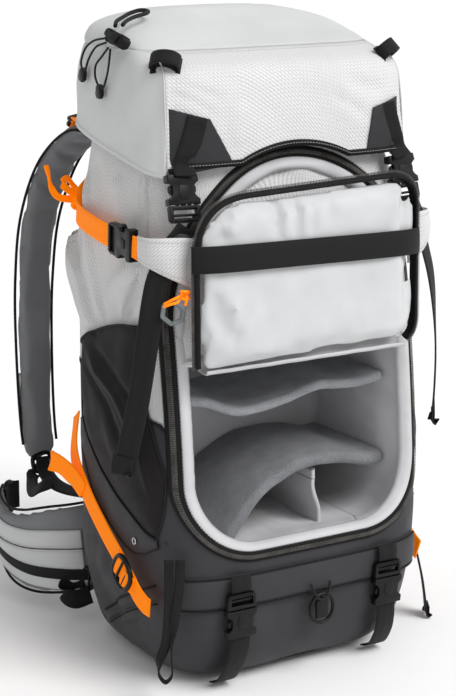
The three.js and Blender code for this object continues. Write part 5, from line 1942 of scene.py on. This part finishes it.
def shoulder_straps():
    rows, path, side, normal = pad_rows(STRAP_LINE, lambda t: vec(1, 0.1, 0), lambda t: 60 - 14 * t,
                                        lambda t: 14.5 - 4 * t, 150)
    run = np.linspace(0, 1, 150)[:, None]
    place_a = np.linspace(0, TURN, PAD_SIDES, endpoint=False)[None]
    wrinkle = 0
    for at, depth, width, slant in ((0.14, 2.2, 0.012, 0.02), (0.19, 2.8, 0.012, -0.016),
                                    (0.24, 3.0, 0.013, 0.024), (0.29, 2.4, 0.012, -0.02),
                                    (0.34, 2.6, 0.012, 0.03), (0.4, 1.6, 0.014, -0.01),
                                    (0.62, 1.0, 0.012, 0.02), (0.8, 1.0, 0.012, -0.02)):
        wrinkle = wrinkle - depth * np.exp(-(((run - at - slant * np.cos(place_a)) / width) ** 2))
    rows = rows + normal[:, None] * (wrinkle * np.sin(place_a))[..., None]
    pad = closed_sweep("shoulder_pad_left", rows, "pad", "harness_left", "padding_cover",
                       replaces=["shoulder_strap_left"])
    simulate(pad, 5.0, 3.0, 5.0)
    other = twin(pad, "shoulder_pad_right", "harness_right", "padding_cover", ["shoulder_strap_right"])

    def laid(stretch, across, lift, gap):
        """Rows across a stretch of the strap, at distances off its middle, laid on its pad."""
        p, s, n = path[stretch][:, None], side[stretch][:, None], normal[stretch][:, None]
        return drape(p + s * across[None, :, None] - n * lift, pad, n, gap)

    outer = laid(slice(14, 136), np.linspace(-10, 10, 7), 4, 1.6)
    light = laid(slice(118, 138), np.linspace(-21, -12, 4), 3, 1.0)
    half = np.linspace(30.3, 23.3, 150)[6:-6, None]
    for name, mirror in SIDES:
        body = f"harness_{name}"
        for k, sign in enumerate((-1, 1)):
            edge = path[6:-6] + side[6:-6] * sign * half
            piping(f"shoulder_binding_{name}_{k}", edge, body, 1.7, "tape", "padding_cover", mirror=mirror)
        grid(f"shoulder_web_{name}", outer, "web", body, "black_webbing", thick=1.4, mirror=mirror,
             flip=True)
        grid(f"shoulder_end_cloth_{name}", light, "smooth", body, "belt_fabric", thick=0.8, mirror=mirror,
             flip=True)
        bars = [[outer[k, 1] - normal[14 + k] * 0.8, outer[k, 5] - normal[14 + k] * 0.8]
                for k in range(8, 118, 16)]
        stitches(f"shoulder_bartacks_{name}", bars, body, "thread_dark", "black_webbing", 2.2, 1.8, 0.6,
                 mirror=mirror)
        seat = place((-140, 239.5, 166), (0, -0.3, -1), (0, 1, -0.3))
        hardware(f"shoulder_ladder_{name}", ladder_parts(14, 15, (-5, 4)), seat, body, mirror=mirror,
                 bevel=0)
        low = [(-140, 240, 172), (-142, 230, 160), (-145, 203, 152), (-143, 168, 151), (-132, 136, 153),
               (-121, 119, 155)]
        web = strap(f"shoulder_lower_web_{name}", low, lambda t: vec(1, 0.35, 0.2), 20, WEB_THICK, None,
                    mirror=mirror, curl=0.6)
        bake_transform(web)
        loose = [(-141, 240, 168), (-149, 240, 158), (-160, 228, 146), (-166, 210, 142), (-163, 196, 150),
                 (-152, 190, 156)]
        strap(f"shoulder_loose_web_{name}", loose, lambda t: vec(0.6, 0.5, 0.6), 19, WEB_THICK, body,
              mirror=mirror, curl=0.6, count=50)
        lifter = [around(127, 592, 1.2), (-128, 140, 597), (-119, 166, 597), (-107, 190, 590),
                  (-104, 203, 582)]
        web = strap(f"load_lifter_web_{name}", lifter, lambda t: vec(1, 0.35, 0), 18, WEB_THICK, None,
                    "orange", "orange_webbing", mirror=mirror, replaces=[f"load_lifter_{name}"])
        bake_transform(web)
        seat = place((-121, 160, 598), (0.3, 1, -0.1), (-0.2, 0, 1))
        hardware(f"load_lifter_lock_{name}", ladder_parts(11, 13, (-3, 4)), seat, body, mirror=mirror,
                 bevel=0)
        seat = place((-105, 198, 587), (0.1, 0.8, -0.5), (-0.1, 0.5, 0.8))
        hardware(f"load_lifter_ring_{name}", ladder_parts(8, 12, (0,)), seat, body, mirror=mirror, bevel=0)


shoulder_straps()


# ---- hip belt ----
WING_LINE = [(-116, 134, 88), (-156, 150, 84), (-182, 190, 74), (-188, 235, 72), (-178, 282, 84),
             (-158, 312, 98)]


def hip_wings():
    width = lambda t: 110 - 50 * t * t
    rows, path, side, normal = pad_rows(WING_LINE, lambda t: vec(0, 0, 1), width, lambda t: 17 - 6 * t, 120,
                                        reach=0.06)
    pad = closed_sweep("hip_pad_left", rows, "pad", "belt_left", "belt_fabric", replaces=["hip_wing_left"])
    simulate(pad, 5.5, 3.0, 5.0)
    twin(pad, "hip_pad_right", "belt_right", "belt_fabric", ["hip_wing_right"])
    out = unit(normal * vec(1, 1, 0))
    share = np.linspace(0, 1, 120)
    half = np.array([width(q) for q in share])[:, None] / 2

    def band(t0, t1, v0, v1, gap, puff=0.0, rows_across=16):
        pick = np.where((share >= t0) & (share <= t1))[0]
        v = np.linspace(0, 1, rows_across)[None]
        low = v0(share[pick])[:, None] if callable(v0) else v0
        high = v1(share[pick])[:, None] if callable(v1) else v1
        level = low + (high - low) * v
        p = path[pick][:, None] + side[pick][:, None] * (level * half[pick])[..., None]
        laid = drape(p - out[pick][:, None] * 6, pad, out[pick][:, None], gap)
        run = np.linspace(0, 1, len(pick))[:, None]
        bulge = puff * np.clip(np.sin(math.pi * run) * np.sin(math.pi * v), 0, 1) ** 0.6
        return laid - out[pick][:, None] * bulge[..., None]

    line_a = lambda t: 0.42 + 0.42 * t
    line_b = lambda t: -0.5 + 0.58 * t
    pocket = band(0.1, 0.9, line_b, line_a, 1.6, 6.0)
    stripe = band(0.06, 0.97, lambda t: line_b(t) - 0.26, line_b, 1.3)
    lower = band(0.06, 0.94, lambda t: line_b(t) - 0.52, lambda t: line_b(t) - 0.26, 1.1)
    beside = (share >= 0.1) & (share <= 0.9)
    zip_row, seam = (pocket[:, k] - out[beside] * 0.5 for k in (9, 7))
    for name, mirror in SIDES:
        body = f"belt_{name}"
        grid(f"hip_pocket_{name}", pocket, "smooth", body, "belt_fabric", thick=1.0, mirror=mirror)
        grid(f"hip_stripe_{name}", stripe, "web", body, "black_webbing", thick=1.0, mirror=mirror)
        grid(f"hip_lower_{name}", lower, "smooth", body, "belt_fabric", thick=0.8, mirror=mirror)
        stitches(f"hip_zip_{name}", [zip_row, seam], body, "thread_light", "belt_fabric", 3.0, 2.2, 0.35,
                 mirror=mirror)
        piping(f"hip_pocket_zip_{name}", pocket[:, 8], body, 1.0, "coil", "zip", mirror=mirror)
        for part, sign in (("top", 1), ("low", -1)):
            rim = path[4:-3] + side[4:-3] * (sign * half[4:-3])
            piping(f"hip_binding_{part}_{name}", rim, body, 1.7, "tape", "belt_fabric", mirror=mirror)
        web = [(-160, 308, 97), (-154, 318, 99), (-146, 323, 100), (-134, 325, 100)]
        seat = place((-150, 321, 99), (0.7, 0.5, 0.05), (-0.5, 0.8, 0))
        hardware(f"belt_buckle_{name}", ladder_parts(13, 22, (-4, 5)) + [slab(10, 15, -17, 17, -3.5, 3.5)],
                 seat, body, mirror=mirror, bevel=0)
        strap(f"belt_web_{name}", web, lambda t: vec(0, 0, 1), 36, 2.2, body, count=20, mirror=mirror)
        k = 12
        root = path[k] - side[k] * 36 - out[k] * 13
        seat = place(root, vec(-0.6, 0.8, 0), -out[k])
        hardware(f"hip_ladder_{name}", ladder_parts(12, 15, (-4, 4)), seat, body, mirror=mirror, bevel=0)
        tail = [root + vec(-2, 2, 0), root + vec(-16, 8, -3), root + vec(-26, 6, -14),
                root + vec(-18, -4, -22), root + vec(2, -8, -18)]
        strap(f"hip_tail_{name}", tail, lambda t: vec(0, 0.2, 1), 22, WEB_THICK, body, count=40,
              mirror=mirror)


hip_wings()


# ---- back: padded panels, haul handle, hinge cloth, collar ----
def cushion(name, half_x, z0, z1, y0, y1, channels, replaces):
    """Crowned pad on the back panel, with sewn channels across it."""
    corner = 36
    flat = rounded_polygon([(-half_x, z0, corner), (-half_x * 0.94, z1, corner), (half_x * 0.94, z1, corner),
                            (half_x, z0, corner)], 3.5)
    middle = vec(0, (z0 + z1) / 2)
    rows = [upright(flat + (middle - flat) * s, y0) for s in (0.995, 0.7, 0.4, 0.2, 0.08, 0.0)]
    for s in (0.0, 0.02, 0.05, 0.1, 0.16, 0.24, 0.34, 0.46, 0.6, 0.75, 0.9, 0.995):
        line = flat + (middle - flat) * s
        crown = (y1 - y0) * (1 - (1 - min(s * 4, 1)) ** 2.2) * 0.75
        sink = sum(np.exp(-(((line[:, 1] - c) / 3.2) ** 2)) for c in channels) * crown * 0.6
        rows.append(upright(line, y0 + 1.0 + crown - sink))
    rows = np.array(rows)
    pad = grid(name, rows, "mesh", "pack", "padding_cover", closed=True, weave=rows[..., [0, 2]], flip=True,
               replaces=replaces)
    simulate(pad, 5.0, 2.0, 4.0)
    return pad


def back_parts():
    pad = cushion("back_cushion", 90, 212, 538, 122.6, 132, (290, 372, 455), ["back_pad"])
    for k, z in enumerate((262, 330, 415, 500)):
        x = np.linspace(-80, 80, 40)
        line = np.stack([x, np.full(40, 130.0), z + 6 * np.cos(x / 60)], 1)
        piping(f"back_channel_{k}", drape(line, pad, vec(0, -1, 0), 0.3), "pack", 1.1, "tape",
               "padding_cover")
    curve = [(-100, 134, 92), (0, 138, 96), (100, 134, 92)]
    rows, *_ = pad_rows(curve, lambda t: vec(0, 0, 1), lambda t: 104, lambda t: 18, 90, reach=0.1)
    lumbar = closed_sweep("lumbar_cushion", rows, "mesh", "pack", "padding_cover", replaces=["lumbar_pad"])
    simulate(lumbar, 5.5, 2.0, 4.0)
    grip = [(-14, 143, 555), (-6, 144, 553.5), (6, 144, 553.5), (14, 143, 555)]
    ends = [(-30, 125.8, 574), (-27, 134, 564), (-14, 143, 555), (0, 144.2, 553), (14, 143, 555),
            (27, 134, 564), (30, 125.8, 574)]
    strap("haul_webbing", ends, lambda t: vec(0, 0.45, 1), lambda t: 18, 2.2, "handle", count=60,
          replaces=["haul_handle"])
    tube("haul_grip", smooth_path(grip, 30), 8.0, "mesh", "handle", "padding_cover", sides=16)
    # Cloth strip at the hinge, from the body's back to the hood.
    x = np.linspace(-118, 118, 60)
    rows = []
    for y, z in ((118.8, 580), (120.2, 588), (120.6, 598), (119.8, 605), (118.4, 612), (116.5, 620)):
        edge = 3.0 * np.clip((np.abs(x) - 96) / 22, 0, 1) ** 2
        rows.append(np.stack([x, y - edge * 2.2 + 0.4 * np.sin(x / 9), np.full(60, float(z))], 1))
    hinge = grid("hinge_cloth", np.array(rows), "dark_rip", None, "ripstop", thick=1.2, flip=True)
    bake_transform(hinge)
    # Gathered collar under the hood, drawn in by its cord.
    turn = np.linspace(0, TURN, 200)
    rings = []
    gather = ((0.0, 592), (0.0, 600), (0.02, 608), (0.08, 618), (0.2, 628), (0.36, 634), (0.55, 637),
              (0.72, 640), (0.84, 646))
    for share, z in gather:
        ring = body_skin(turn, np.full(200, min(float(z), RIM)), -6.0)
        middle = vec(0, 12, 0)
        flat = ring * vec(1, 1, 0)
        pleats = (1.2 + 7 * share) * np.sin(turn * 22 + 0.8 * np.sin(turn * 3)) * (1 - 0.6 * share)
        flat = flat + (middle - flat) * share + unit(flat - middle) * (pleats * 0.35)[:, None]
        flat[:, 2] = z + pleats * 0.5
        rings.append(flat)
    rings = np.array(rings)
    grid("collar", rings, "dark_rip", "pack", "ripstop", thick=0.8)
    line = rings[-2] + vec(0, 0, 1.2)
    joined("collar_cord", [tube_part(line[:-1], 1.4, 8, closed=True)], "cord_orange", "pack",
           "orange_webbing")
    # Fold between the arch panel and the door.
    x = np.linspace(-131, 123, 90)
    rows = []
    drop = ((2.4, 376), (-0.6, 369), (-3.2, 365), (-5.6, 362), (-9.4, 361), (-13.0, 362.4), (-14.5, 366))
    for k, (dy, z) in enumerate(drop):
        base = front_point(x, np.full(90, 362.0), 0.0)
        deep = base[:, 1] + dy
        if k > 3:
            deep = np.minimum(deep, -143.5 + 0 * x) if k == 4 else np.full(90, -145.5 - (k - 5))
        rows.append(np.stack([x, deep + 0.5 * np.sin(x / 7), np.full(90, float(z))], 1))
    fold_cloth = grid("door_fold_cloth", np.array(rows), "liner", None, "lining", thick=0.8)
    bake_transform(fold_cloth)


back_parts()


# ---- zip slider with its pull ----
def slider():
    at = front_point(-155.0, 434.0, 4.6)
    along = unit(front_point(-155.0, 434.0) - front_point(-155.0, 384.0))
    seat = place(at, along, vec(-0.62, -0.78, 0.05))
    body = [slab(-7, 6.5, -4.6, 4.6, -1.6, 2.2),
            prism([(6.5, -4.6), (9, -2), (9, 2), (6.5, 4.6)], -1.6, 2.2),
            slab(-4.5, 4.5, -1.4, 1.4, 2.0, 5.2)]
    hardware("slider_body", body, seat, "slider", ["zip_slider"], bevel=0.8)
    middle = vec(-164, -133, 430)
    right, up = unit(vec(0.857, -0.515, 0)), unit(vec(-0.1, -0.15, 1))
    turn = np.linspace(0, TURN, 6, endpoint=False) + 0.35
    corners = middle + right * (11.5 * np.cos(turn))[:, None] + up * (12.5 * np.sin(turn))[:, None]
    ring = even(np.concatenate([corners, corners[:1]]), 61)[:-1]
    joined("slider_pull", [tube_part(ring, 2.5, 8, closed=True)], "grip", "slider", "black_plastic")
    lead = smooth_path([(-155, -130, 445), (-159, -137, 447), (-167, -138, 445), (-173.5, -132, 440)], 40)
    bow = smooth_path([(-156, -133, 444), (-162, -139, 442), (-170, -137, 440), (-173.5, -131, 437)], 40)
    end = smooth_path([(-151, -137, 447), (-150.5, -138.5, 446), (-152, -138, 437)], 30)
    spin = np.linspace(0, 2.6 * TURN, 90)
    turns = np.stack([4.6 * np.cos(spin), 2.6 * np.sin(spin), 4.2 * np.sin(spin * 0.41)], 1)
    knot = vec(-151, -136, 448) + turns
    parts = [tube_part(line, 1.5, 8) for line in (lead, bow, end, knot)]
    joined("slider_cord", parts, "cord_orange", "slider", "orange_webbing")


slider()
